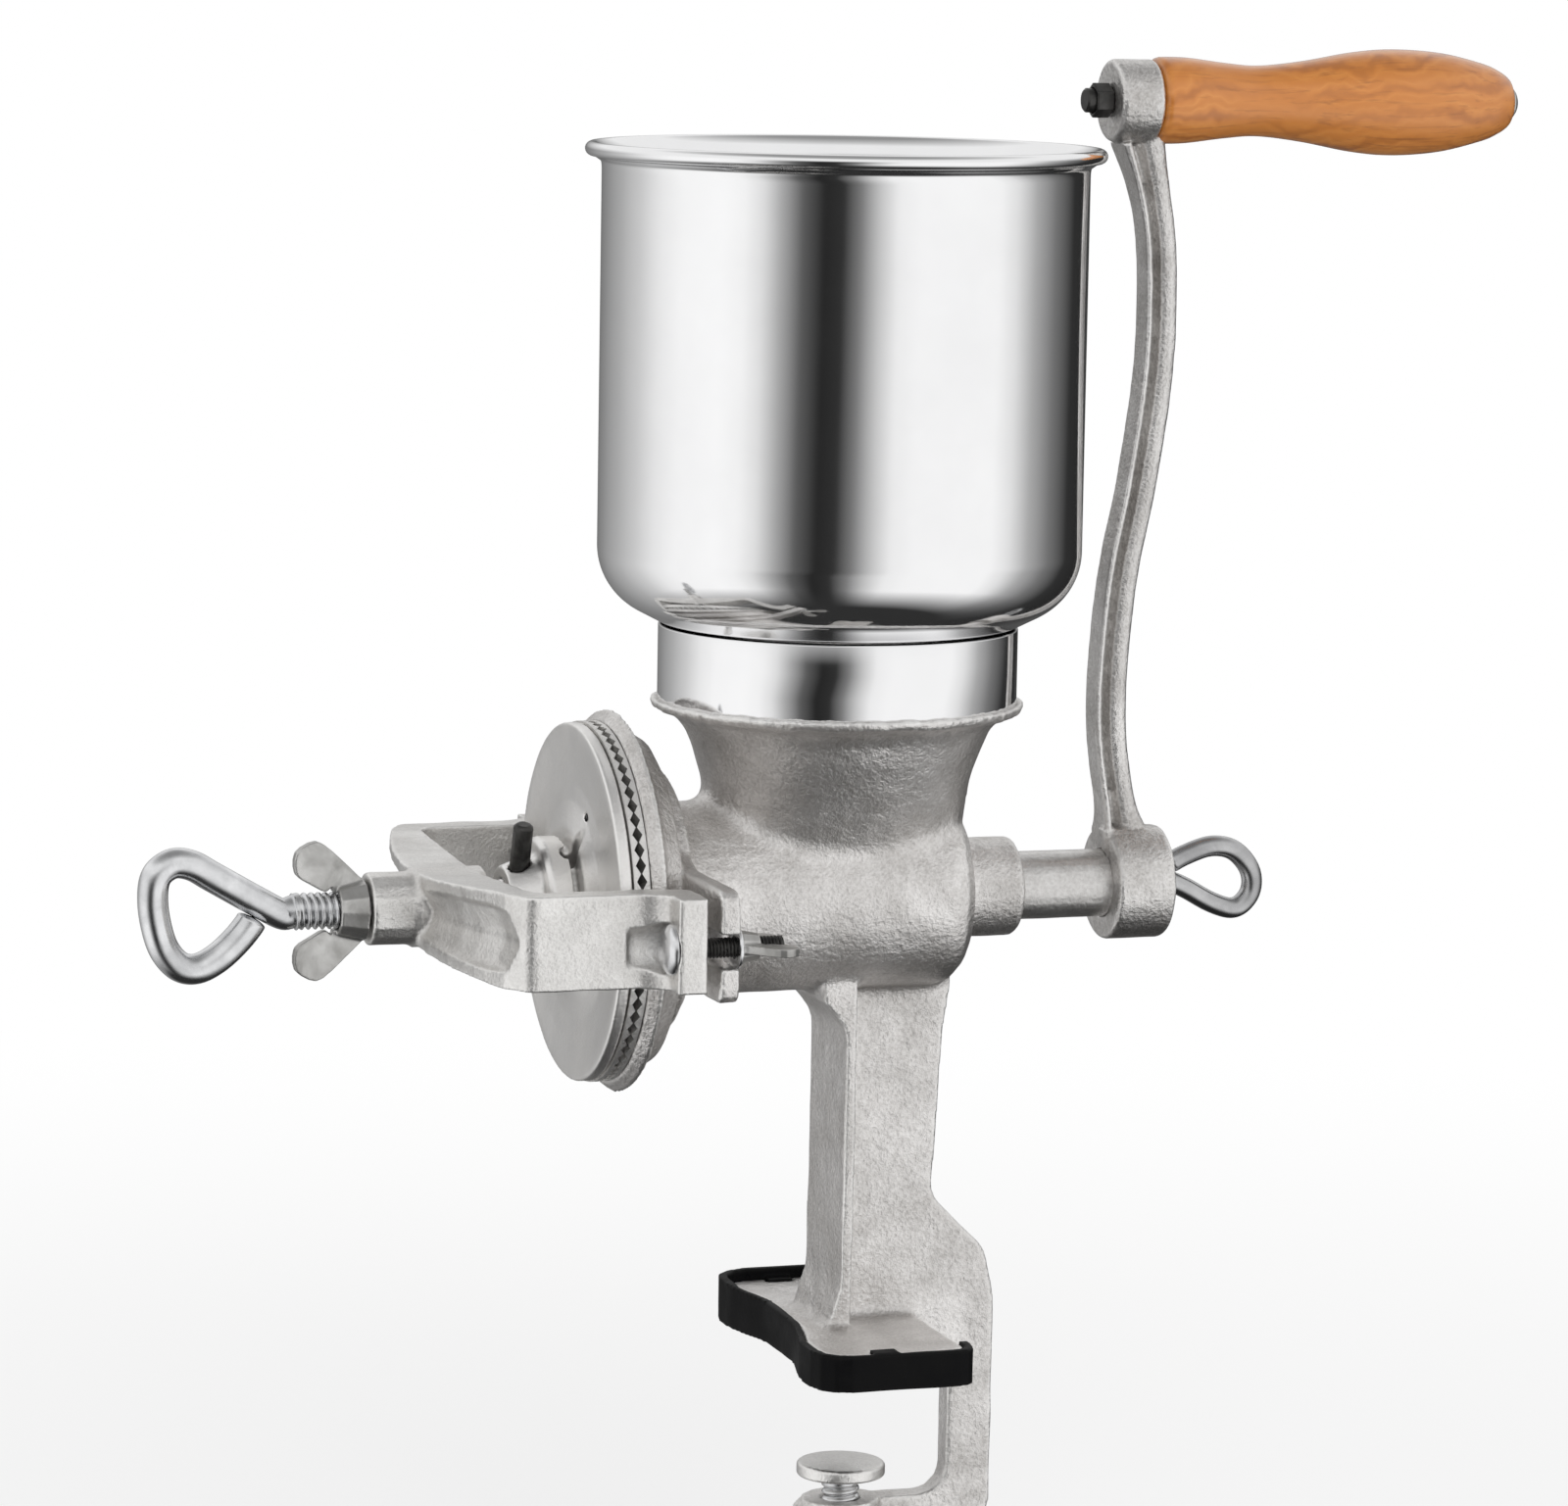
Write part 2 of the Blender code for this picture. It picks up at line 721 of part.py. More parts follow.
def ear(side, collection):
    """One ear: a bar out from the flange's back, with a slot open at its end."""
    outline = rounded(
        [
            (side * EAR_START_Y, SHAFT_Z + EAR_TOP + EAR_ROOT_RISE, 0),
            (side * EAR_ROOT_Y, SHAFT_Z + EAR_TOP + EAR_ROOT_RISE, EAR_ROOT_FILLET),
            (side * EAR_ROOT_END_Y, SHAFT_Z + EAR_TOP, EAR_ROOT_FILLET),
            (side * EAR_REACH, SHAFT_Z + EAR_TOP, EAR_CORNER),
            (side * EAR_REACH, SHAFT_Z + EAR_BOTTOM, EAR_CORNER),
            (side * EAR_START_Y, SHAFT_Z + EAR_BOTTOM, 0),
        ]
    )
    return plate(f"ear_{'rear' if side > 0 else 'front'}", outline, EAR_THICKNESS, collection, "YZ", EAR_X)


def ear_slot(side, collection):
    half = BOLT_RADIUS + EAR_SLOT_SLACK
    near, far = side * (EAR_REACH - EAR_SLOT_DEPTH), side * (EAR_REACH + OVERSHOOT)
    low = (EAR_X - EAR_THICKNESS, min(near, far), SHAFT_Z + BOLT_Z - half)
    high = (EAR_X + EAR_THICKNESS, max(near, far), SHAFT_Z + BOLT_Z + half)
    return box(f"ear_slot_{'rear' if side > 0 else 'front'}", low, high, collection)


def leg_outline():
    """Side view of the leg's cross flange, flared at the barrel and at the foot."""
    top = SHAFT_Z - BARREL_RADIUS * 0.65
    root_z = SHAFT_Z - BARREL_RADIUS - LEG_ROOT_DROP
    left_top = LEG_X - LEG_THICKNESS / 2
    left_foot = left_top - LEG_LEAN
    return rounded(
        [
            (left_top + LEG_THICKNESS, top, 0),
            (left_top - LEG_TOP_FLARE, top, 0),
            (left_top - LEG_TOP_FLARE, root_z, LEG_SHOULDER_FILLET),
            (left_top, root_z - LEG_TOP_FLARE_LENGTH, LEG_ROOT_FILLET),
            (left_foot, FOOT_TOP_Z + LEG_FOOT_FLARE_LENGTH, LEG_FOOT_FILLET),
            (left_foot - LEG_FOOT_FLARE, FOOT_TOP_Z, 0),
            (left_foot - LEG_FOOT_FLARE, FOOT_TOP_Z - FOOT_SINK, 0),
            (left_foot + LEG_THICKNESS, FOOT_TOP_Z - FOOT_SINK, 0),
        ]
    )


def web_outline():
    """Side view of the web that runs down into the clamp's frame and lower arm."""
    return rounded(
        [
            (LEG_X, SHAFT_Z - BARREL_RADIUS * 0.75, 0),
            (WEB_TOP_X + WEB_ROOT_FLARE, SHAFT_Z - BARREL_RADIUS * 0.75, 0),
            (WEB_TOP_X + WEB_ROOT_FLARE, SHAFT_Z - BARREL_RADIUS, WEB_ROOT_FILLET),
            (WEB_TOP_X, SHAFT_Z - BARREL_RADIUS - WEB_TOP_DROP, WEB_TOP_FILLET),
            (WEB_WAIST_X, WEB_WAIST_Z, WEB_WAIST_FILLET),
            (FRAME_BEND_X, FRAME_BEND_Z, FRAME_BEND_FILLET),
            (FRAME_BACK_X, FRAME_SHOULDER_Z, FRAME_SHOULDER_FILLET),
            (FRAME_BACK_X, ARM_BOTTOM_Z, FRAME_BOTTOM_FILLET),
            (ARM_TIP_X, ARM_BOTTOM_Z + ARM_TIP_RISE, ARM_TIP_FILLET),
            (ARM_TIP_X, ARM_TOP_Z, ARM_TIP_TOP_FILLET),
            (FRAME_INNER_X, ARM_TOP_Z, FRAME_INNER_FILLET),
            (FRAME_INNER_X, FOOT_BOTTOM_Z - FRAME_INNER_DROP, FRAME_FOOT_FILLET),
            (FOOT_RIGHT_X, FOOT_BOTTOM_Z + 0.001, 0.001),
            (FOOT_RIGHT_X - 0.003, FOOT_TOP_Z - FOOT_SINK, 0),
            (LEG_X, FOOT_TOP_Z - FOOT_SINK, 0),
        ]
    )


def foot_notch(side, grow, low_z, high_z, collection):
    """Notch in the middle of the foot's long edge, or the boot's tab that fills it."""
    edge = FOOT_HALF_WIDTH + BOOT_WALL * 0.5
    depth = FOOT_HALF_WIDTH - NOTCH_DEPTH - grow
    low = (NOTCH_X - NOTCH_WIDTH / 2 - grow, min(side * edge, side * depth), low_z)
    high = (NOTCH_X + NOTCH_WIDTH / 2 + grow, max(side * edge, side * depth), high_z)
    name = f"notch_{'rear' if side > 0 else 'front'}_{round(grow * 10000)}"
    return box(name, low, high, collection)


def make_body(parts, tools, look):
    body = turned("body_casting", barrel_profile(), parts, LARGE_STEPS)
    lay_along_shaft(body)
    for angle in burr_screw_angles():
        cut(body, screw_hole("flange", angle, FLANGE_FACE_X, 1, tools))
    throat = lofted("throat_outside", throat_outside(), tools)
    join(body, throat)
    seat = NECK_RADIUS + SEAT_GAP
    seat_top = SHAFT_Z + RING_TOP + OVERSHOOT
    seat_floor = SHAFT_Z + RING_TOP - RING_SEAT_DEPTH
    cut(body, cylinder("ring_seat", seat, seat_floor, seat_top, tools, LARGE_STEPS))
    cut(body, lofted("throat_inside", throat_inside(), tools))
    for side in (-1, 1):
        join(body, ear(side, tools))
    join(body, plate("leg_flange", leg_outline(), LEG_WIDTH, tools, "XZ"))
    join(body, plate("clamp_frame", web_outline(), WEB_THICKNESS, tools, "XZ"))
    foot_middle = (FOOT_BOTTOM_Z + FOOT_TOP_Z) / 2
    foot = plate("foot_plate", foot_outline(0), FOOT_THICKNESS, tools, "XY", foot_middle)
    for side in (-1, 1):
        cut(foot, foot_notch(side, SEAT_GAP, FOOT_BOTTOM_Z - OVERSHOOT, FOOT_TOP_Z + OVERSHOOT, tools))
    join(body, foot)
    boss = cylinder("clamp_boss", CLAMP_BOSS_RADIUS, ARM_BOTTOM_Z - CLAMP_BOSS_PROUD, ARM_TOP_Z, tools)
    boss.location.x = CLAMP_X
    join(body, boss)
    thread = CLAMP_SCREW_RADIUS + RUNNING_GAP
    hole = cylinder("clamp_hole", thread, ARM_BOTTOM_Z - 0.010, ARM_TOP_Z + 0.005, tools)
    hole.location.x = CLAMP_X
    cut(body, hole)

    bore = turned("barrel_bore", bore_profile(), tools, LARGE_STEPS)
    lay_along_shaft(bore)
    cut(body, bore)
    for side in (-1, 1):
        cut(body, ear_slot(side, tools))
    return finish(body, look)


def burr_screw_angles():
    return (BURR_SCREW_TURN, BURR_SCREW_TURN + pi)


def screw_hole(owner, angle, face_x, direction, tools):
    """Blind hole for a burr's screw, from a face into what lies behind it."""
    radius = SCREW_SHANK + SEAT_GAP
    deep = face_x + direction * (SCREW_DEPTH + SEAT_GAP)
    open_end = face_x - direction * OVERSHOOT
    low, high = min(deep, open_end), max(deep, open_end)
    hole = cylinder(f"{owner}_screw_hole_{round(angle * 10)}", radius, low, high, tools)
    lay_along_shaft(hole, SHAFT_Z + BURR_SCREW_RADIUS * sin(angle), BURR_SCREW_RADIUS * cos(angle))
    return hole


def boot_trim(tools):
    """Slab above the boot whose underside falls from the rear lip to the front lip."""
    half = FOOT_HALF_WIDTH + SEAT_GAP + BOOT_WALL
    slope = asin((BOOT_REAR_LIP - BOOT_FRONT_LIP) / (2 * half))
    reach = half + OVERSHOOT
    slab = box("boot_trim", (-reach, -reach, 0), (reach, reach, 0.02), tools)
    slab.rotation_euler.x = slope
    middle = FOOT_TOP_Z + (BOOT_REAR_LIP + BOOT_FRONT_LIP) / 2
    slab.location = (0, -0.01 * sin(slope), middle + 0.01 * cos(slope))
    return slab


def make_boot(parts, tools, look):
    lip_z = FOOT_TOP_Z + BOOT_REAR_LIP
    boot = plate("rubber_foot", foot_outline(SEAT_GAP + BOOT_WALL), lip_z, parts, "XY", lip_z / 2)
    cut(boot, boot_trim(tools))
    recess_height = lip_z - BOOT_FLOOR + OVERSHOOT
    recess_middle = BOOT_FLOOR + recess_height / 2
    cut(boot, plate("boot_recess", foot_outline(SEAT_GAP), recess_height, tools, "XY", recess_middle))
    reach = FOOT_HALF_WIDTH - BOOT_HOOK
    low = (FOOT_RIGHT_X - 0.004, -reach, -OVERSHOOT)
    high = (FOOT_RIGHT_X + 0.020, reach, lip_z + OVERSHOOT)
    cut(boot, box("boot_opening", low, high, tools))
    for side in (-1, 1):
        join(boot, foot_notch(side, 0, BOOT_FLOOR - 0.001, FOOT_TOP_Z + 0.0006, tools))
    return finish(boot, look)


def bowl_profile():
    """Sheet metal bowl: rolled rim, straight wall, round shoulder, cone and spout."""
    spout = NECK_RADIUS - SHEET - SEAT_GAP
    rim_z = SHAFT_Z + BOWL_RIM
    bend_z = SHAFT_Z + NECK_TOP + SEAT_GAP
    turn = BOWL_SHOULDER_ANGLE
    arc_drop = BOWL_SHOULDER_RADIUS * sin(turn)
    arc_in = BOWL_SHOULDER_RADIUS * (1 - cos(turn))
    cone_in = BOWL_RADIUS - arc_in - spout
    shoulder_z = bend_z + cone_in / tan(turn) + arc_drop
    outside, inside = [], []
    bead_r = BOWL_RADIUS + RIM_OVERHANG
    for i in range(6):
        angle = pi * (0.80 - i * 0.26)
        outside.append((bead_r + RIM_BEAD_RADIUS * cos(angle), rim_z + RIM_BEAD_RADIUS * sin(angle)))
    outside.append((BOWL_RADIUS, rim_z - RIM_BEAD_RADIUS - RIM_OVERHANG))
    for i in range(5):
        angle = turn * i / 4
        radius = BOWL_RADIUS - BOWL_SHOULDER_RADIUS * (1 - cos(angle))
        height = shoulder_z - BOWL_SHOULDER_RADIUS * sin(angle)
        outside.append((radius, height))
    inner = BOWL_SHOULDER_RADIUS - SHEET
    for i in range(4):
        angle = turn * i / 3
        inside.append((BOWL_RADIUS - SHEET - inner * (1 - cos(angle)), shoulder_z - inner * sin(angle)))
    outside.append((spout, bend_z))
    outside.append((spout, bend_z - SPOUT_LENGTH))
    inside_bend = (spout - SHEET, bend_z + SHEET * 0.5)
    wall_top = (BOWL_RADIUS - SHEET, rim_z - RIM_BEAD_RADIUS - RIM_OVERHANG)
    upward = [(spout - SHEET, bend_z - SPOUT_LENGTH), inside_bend] + inside[::-1] + [wall_top]
    return outside + upward


def make_hopper(parts, looks):
    bowl = turned("hopper_bowl", bowl_profile(), parts, LARGE_STEPS, ring=True)
    bottom = SHAFT_Z + RING_TOP - RING_SEAT_DEPTH + SEAT_GAP
    top = SHAFT_Z + NECK_TOP
    inner = NECK_RADIUS - SHEET
    profile = [(NECK_RADIUS, top), (NECK_RADIUS, bottom), (inner, bottom), (inner, top)]
    collar = turned("hopper_collar", profile, parts, LARGE_STEPS, ring=True)
    return finish(bowl, looks["polished sheet"]), finish(collar, looks["polished sheet"])


def toothed_disc(name, back_x, direction, collection):
    """Burr plate: V teeth run outward from the toothed side's flat middle."""
    builder = bmesh.new()
    flat_x = back_x + direction * BURR_BASE
    tip_x = back_x + direction * BURR_THICKNESS
    back, valleys, flat, tips = [], [], [], []
    for i in range(TOOTH_COUNT):
        turn = 2 * pi * i / TOOTH_COUNT
        across, up = cos(turn), sin(turn)
        back.append(builder.verts.new((back_x, BURR_RADIUS * across, BURR_RADIUS * up)))
        valleys.append(builder.verts.new((flat_x, BURR_RADIUS * across, BURR_RADIUS * up)))
        flat.append(builder.verts.new((flat_x, TOOTH_START_RADIUS * across, TOOTH_START_RADIUS * up)))
        turn += pi / TOOTH_COUNT
        tips.append(builder.verts.new((tip_x, BURR_RADIUS * cos(turn), BURR_RADIUS * sin(turn))))
    for i in range(TOOTH_COUNT):
        j = (i + 1) % TOOTH_COUNT
        builder.faces.new((back[i], back[j], valleys[j], valleys[i]))
        builder.faces.new((valleys[i], valleys[j], tips[i]))
        builder.faces.new((tips[i], valleys[i], flat[i]))
        builder.faces.new((tips[i], flat[i], flat[j]))
        builder.faces.new((tips[i], flat[j], valleys[j]))
    builder.faces.new(back)
    builder.faces.new(flat)
    bmesh.ops.recalc_face_normals(builder, faces=builder.faces)
    mesh = bpy.data.meshes.new(name)
    builder.to_mesh(mesh)
    builder.free()
    obj = link(bpy.data.objects.new(name, mesh), collection)
    obj.location.z = SHAFT_Z
    return obj


def burr(name, back_x, direction, parts, tools, look):
    plate_obj = toothed_disc(name, back_x, direction, parts)
    far_x = back_x + direction * (BURR_THICKNESS + OVERSHOOT)
    near_x = back_x - direction * OVERSHOOT
    low, high = min(near_x, far_x), max(near_x, far_x)
    bore = cylinder(f"{name}_bore", BURR_BORE, low, high, tools, 24)
    lay_along_shaft(bore)
    cut(plate_obj, bore)
    for angle in burr_screw_angles():
        turn = angle + (0 if direction < 0 else pi / 2)
        cut(plate_obj, screw_hole(name, turn, back_x, direction, tools))
    return finish(plate_obj, look)


def burr_screw(name, angle, back_x, direction, parts, look):
    """Cheese-head screw: its head bears on the burr's flat, its shank ends in the carrier."""
    head_x = back_x + direction * (BURR_BASE + SEAT_GAP)
    top_x = head_x + direction * SCREW_HEAD_HEIGHT
    tip_x = back_x - direction * (SEAT_GAP + SCREW_DEPTH)
    profile = [
        (0, top_x),
        (SCREW_HEAD, top_x),
        (SCREW_HEAD, head_x),
        (SCREW_SHANK, head_x),
        (SCREW_SHANK, tip_x),
        (0, tip_x),
    ]
    if direction < 0:
        profile = profile[::-1]
    screw = turned(name, profile, parts, SMALL_STEPS)
    lay_along_shaft(screw, SHAFT_Z + BURR_SCREW_RADIUS * sin(angle), BURR_SCREW_RADIUS * cos(angle))
    return finish(screw, look)


def make_burrs(parts, tools, looks):
    iron = looks["burr iron"]
    steel = looks["zinc steel"]
    burr("stationary_burr", STATIONARY_BACK_X, -1, parts, tools, iron)
    burr("rotating_burr", ROTATING_BACK_X, 1, parts, tools, iron)
    for i, angle in enumerate(burr_screw_angles()):
        burr_screw(f"stationary_burr_screw_{i + 1}", angle, STATIONARY_BACK_X, -1, parts, steel)
        burr_screw(f"rotating_burr_screw_{i + 1}", angle + pi / 2, ROTATING_BACK_X, 1, parts, steel)


def auger_flight(tools):
    """Helical flight: a line turned with a rise, then given its thickness."""
    mesh = bpy.data.meshes.new("auger_flight")
    inner = SHAFT_RADIUS - 0.0012
    outer = BORE_RADIUS - AUGER_CLEARANCE
    mesh.from_pydata([(outer, 0, 0), (inner, 0, 0)], [(0, 1)], [])
    flight = link(bpy.data.objects.new("auger_flight", mesh), tools)
    right_x = BORE_END_X - WASHER_THICKNESS - 2 * SEAT_GAP - AUGER_FLIGHT / 2 - 0.0006
    length = right_x - (AUGER_LEFT_X + AUGER_FLIGHT / 2)
    turns = length / AUGER_PITCH
    screw = flight.modifiers.new("Helix", "SCREW")
    screw.angle = 2 * pi * turns
    screw.screw_offset = length
    screw.steps = round(16 * turns)
    screw.render_steps = screw.steps
    screw.use_merge_vertices = False
    thick = flight.modifiers.new("Flight thickness", "SOLIDIFY")
    thick.thickness = AUGER_FLIGHT
    thick.offset = 0
    lay_along_shaft(flight)
    flight.location.x = AUGER_LEFT_X + AUGER_FLIGHT / 2
    return flight


def shaft_flats(tools, grow):
    """Two slabs that trim the shaft's crank end to a double D."""
    flat = SHAFT_RADIUS - SHAFT_FLAT_DEPTH + grow
    slabs = []
    for side in (-1, 1):
        near, far = side * flat, side * (SHAFT_RADIUS + OVERSHOOT)
        low = (CRANK_HUB_X + SHAFT_FLAT_START + grow, min(near, far), SHAFT_Z - 0.020)
        high = (SHAFT_END_X + OVERSHOOT, max(near, far), SHAFT_Z + 0.020)
        slabs.append(box(f"shaft_flat_{round(grow * 10000)}_{side}", low, high, tools))
    return slabs


def make_auger(parts, tools, look):
    shoulder_x = ROTOR_RIGHT_X + SEAT_GAP
    profile = [
        (0, SHAFT_END_X),
        (SHAFT_RADIUS - 0.001, SHAFT_END_X),
        (SHAFT_RADIUS, SHAFT_END_X - 0.001),
        (SHAFT_RADIUS, shoulder_x),
        (JOURNAL_RADIUS, shoulder_x),
        (JOURNAL_RADIUS, SHAFT_START_X + 0.001),
        (JOURNAL_RADIUS - 0.001, SHAFT_START_X),
        (THRUST_PAD_RADIUS + SEAT_GAP, SHAFT_START_X),
        (THRUST_PAD_RADIUS + SEAT_GAP, SHAFT_START_X + THRUST_CUP_DEPTH),
        (0, SHAFT_START_X + THRUST_CUP_DEPTH),
    ]
    auger = turned("auger", profile, parts, SHAFT_STEPS)
    lay_along_shaft(auger)
    join(auger, auger_flight(tools))
    cut(auger, *shaft_flats(tools, 0))
    hole_radius = EYE_BOLT_RADIUS + SEAT_GAP
    hole = cylinder("eye_bolt_hole", hole_radius, SHAFT_END_X - EYE_BOLT_DEPTH, SHAFT_END_X + OVERSHOOT, tools)
    lay_along_shaft(hole)
    cut(auger, hole)
    cut(auger, pin_hole("shaft_pin_hole", tools))
    return finish(auger, look)


def pin_hole(name, tools):
    """A hole across the shaft at the drive pin."""
    reach = PIN_HALF_LENGTH + OVERSHOOT
    hole = cylinder(name, PIN_RADIUS + SEAT_GAP, -reach, reach, tools)
    hole.rotation_euler = (PIN_TURN, 0, 0)
    hole.location = (PIN_X, 0, SHAFT_Z)
    return hole


def make_drive_pin(parts, look):
    half = PIN_HALF_LENGTH
    edge = 0.0010
    profile = [
        (0, half),
        (PIN_RADIUS - edge, half),
        (PIN_RADIUS, half - edge),
        (PIN_RADIUS, -half + edge),
        (PIN_RADIUS - edge, -half),
        (0, -half),
    ]
    pin = turned("drive_pin", profile, parts, SMALL_STEPS)
    pin.rotation_euler = (PIN_TURN, 0, 0)
    pin.location = (PIN_X, 0, SHAFT_Z)
    return finish(pin, look)


def make_thrust_washer(parts, look):
    left = BORE_END_X - SEAT_GAP - WASHER_THICKNESS
    right = BORE_END_X - SEAT_GAP
    inner = SHAFT_RADIUS + RUNNING_GAP
    profile = [(WASHER_RADIUS, right), (WASHER_RADIUS, left), (inner, left), (inner, right)]
    washer = turned("thrust_washer", profile, parts, SHAFT_STEPS, ring=True)
    lay_along_shaft(washer)
    return finish(washer, look)


def rotor_profile():
    """The rotor from its burr side round the rim and along the dished face to the hub."""
    face = ROTOR_LEFT_X
    groove_x = face - ROTOR_GROOVE_SETBACK
    collar_x = groove_x - ROTOR_GROOVE_WIDTH
    return [
        (0, ROTOR_RIGHT_X),
        (ROTOR_RADIUS - ROTOR_EDGE, ROTOR_RIGHT_X),
        (ROTOR_RADIUS, ROTOR_RIGHT_X - ROTOR_EDGE),
        (ROTOR_RADIUS, face + ROTOR_EDGE),
        (ROTOR_RADIUS - ROTOR_EDGE, face),
        (ROTOR_RADIUS - ROTOR_RIM_BAND, face),
        (ROTOR_RADIUS - ROTOR_DISH_START, face + ROTOR_DISH * 0.7),
        (ROTOR_RADIUS - ROTOR_DISH_END, face + ROTOR_DISH),
        (ROTOR_BOSS_RADIUS + ROTOR_FILLET_REACH, face + ROTOR_DISH * 0.5),
        (ROTOR_BOSS_RADIUS + ROTOR_FILLET_FOOT, face - ROTOR_FILLET_RISE),
        (ROTOR_BOSS_RADIUS, groove_x),
        (ROTOR_GROOVE_RADIUS, groove_x),
        (ROTOR_GROOVE_RADIUS, collar_x),
        (ROTOR_HUB_RADIUS, collar_x),
        (ROTOR_HUB_RADIUS, HUB_FACE_X + ROTOR_HUB_EDGE),
        (ROTOR_HUB_RADIUS - ROTOR_HUB_EDGE, HUB_FACE_X),
        (ROTOR_NECK_RADIUS, HUB_FACE_X),
        (ROTOR_NECK_TIP_RADIUS, NECK_FACE_X),
        (0, NECK_FACE_X),
    ]


def make_rotor(parts, tools, look):
    rotor = turned("rotor_disc", rotor_profile(), parts)
    lay_along_shaft(rotor)
    bore = JOURNAL_RADIUS + SEAT_GAP
    socket = cylinder("rotor_socket", bore, NECK_FACE_X - OVERSHOOT, ROTOR_RIGHT_X + OVERSHOOT, tools, SHAFT_STEPS)
    lay_along_shaft(socket)
    cut(rotor, socket)
    cut(rotor, pin_hole("rotor_pin_hole", tools))
    oil_hole = cylinder("oil_hole", OIL_HOLE_RADIUS, JOURNAL_RADIUS, ROTOR_BOSS_RADIUS + 0.010, tools)
    oil_hole.rotation_euler = (OIL_HOLE_TURN, 0, 0)
    oil_hole.location = (ROTOR_LEFT_X - OIL_HOLE_SETBACK, 0, SHAFT_Z)
    cut(rotor, oil_hole)
    for angle in burr_screw_angles():
        cut(rotor, screw_hole("rotor", angle + pi / 2, ROTOR_RIGHT_X, -1, tools))
    return finish(rotor, look)


def bridge_bow():
    """Radius of the bridge's bowed outer face, and the x of the bow's centre."""
    rise = BRIDGE_THICKNESS - BRIDGE_END_THICKNESS
    radius = (BRIDGE_END_Y**2 + rise**2) / (2 * rise)
    return radius, BRIDGE_OUTER_X + radius


def bow_points(radius, centre_x, low_y, high_y, steps):
    """Points along the bow, or beside it, from one side to the other."""
    low, high = asin(low_y / radius), asin(high_y / radius)
    return [(centre_x - along, across) for across, along in arc(0, 0, radius, low, high, steps)]


def yoke_outline():
    """Plan view of the yoke's outside, from the bridge to the two lugs."""
    arm_inner = ARM_OUTER_Y - ARM_WALL
    end_x = BRIDGE_INNER_X - BRIDGE_END_THICKNESS
    radius, centre_x = bridge_bow()
    bow = [(x, y, 0) for x, y in bow_points(radius, centre_x, 0, BRIDGE_END_Y, 4)[1:]]
    half = bow + [
        (end_x + YOKE_CORNER, ARM_OUTER_Y, YOKE_CORNER),
        (FLARE_X, ARM_OUTER_Y, 0.010),
        (LUG_LEFT_X, LUG_REACH - LUG_STEP, 0.004),
        (LUG_LEFT_X, LUG_REACH, 0.001),
        (LUG_RIGHT_X, LUG_REACH, 0.001),
        (LUG_RIGHT_X, arm_inner + 0.0030, 0.003),
        (FLARE_X + 0.0040, arm_inner, 0.006),
        (BRIDGE_INNER_X, arm_inner, 0.006),
    ]
    rear = list(half)
    front = [(x, -y, radius) for x, y, radius in half[::-1]]
    return rounded(rear + front)


def bridge_channel(tools):
    """Rod that hollows the bridge's bowed face: open at the rear end, closed at the front."""
    radius, centre_x = bridge_bow()
    lift = CHANNEL_RADIUS - CHANNEL_DEPTH
    rear_y = ARM_OUTER_Y + OVERSHOOT
    path = bow_points(radius + lift, centre_x, CHANNEL_FRONT_Y, rear_y, 8)
    front_x, front_y = path[0]
    path.insert(0, (front_x - CHANNEL_DEPTH, front_y - CHANNEL_RADIUS))
    points = [(x, y, 0) for x, y in path]
    widening = (1 - CHANNEL_MIDDLE_SCALE) / CHANNEL_FULL_Y
    scales = [min(1.0, CHANNEL_MIDDLE_SCALE + widening * abs(y)) for x, y in path]
    return rod("bridge_channel", points, CHANNEL_RADIUS, tools, SHAFT_Z, scales)


def bridge_waist(side, tools):
    """Wedge that takes the bridge down in height towards the boss, above or below."""
    slope = BRIDGE_WAIST / (BRIDGE_WAIST_END_Y - BRIDGE_WAIST_Y)
    low = SHAFT_Z + side * (YOKE_HALF_HEIGHT - BRIDGE_WAIST)
    clear = SHAFT_Z + side * (YOKE_HALF_HEIGHT + OVERSHOOT)
    far_y = BRIDGE_WAIST_END_Y + OVERSHOOT / slope
    outline = [(-far_y, clear), (-BRIDGE_WAIST_Y, low), (BRIDGE_WAIST_Y, low), (far_y, clear)]
    left_x = BRIDGE_OUTER_X - OVERSHOOT
    right_x = BRIDGE_INNER_X + OVERSHOOT
    name = f"bridge_waist_{'above' if side > 0 else 'below'}"
    return plate(name, outline, right_x - left_x, tools, "YZ", (left_x + right_x) / 2)


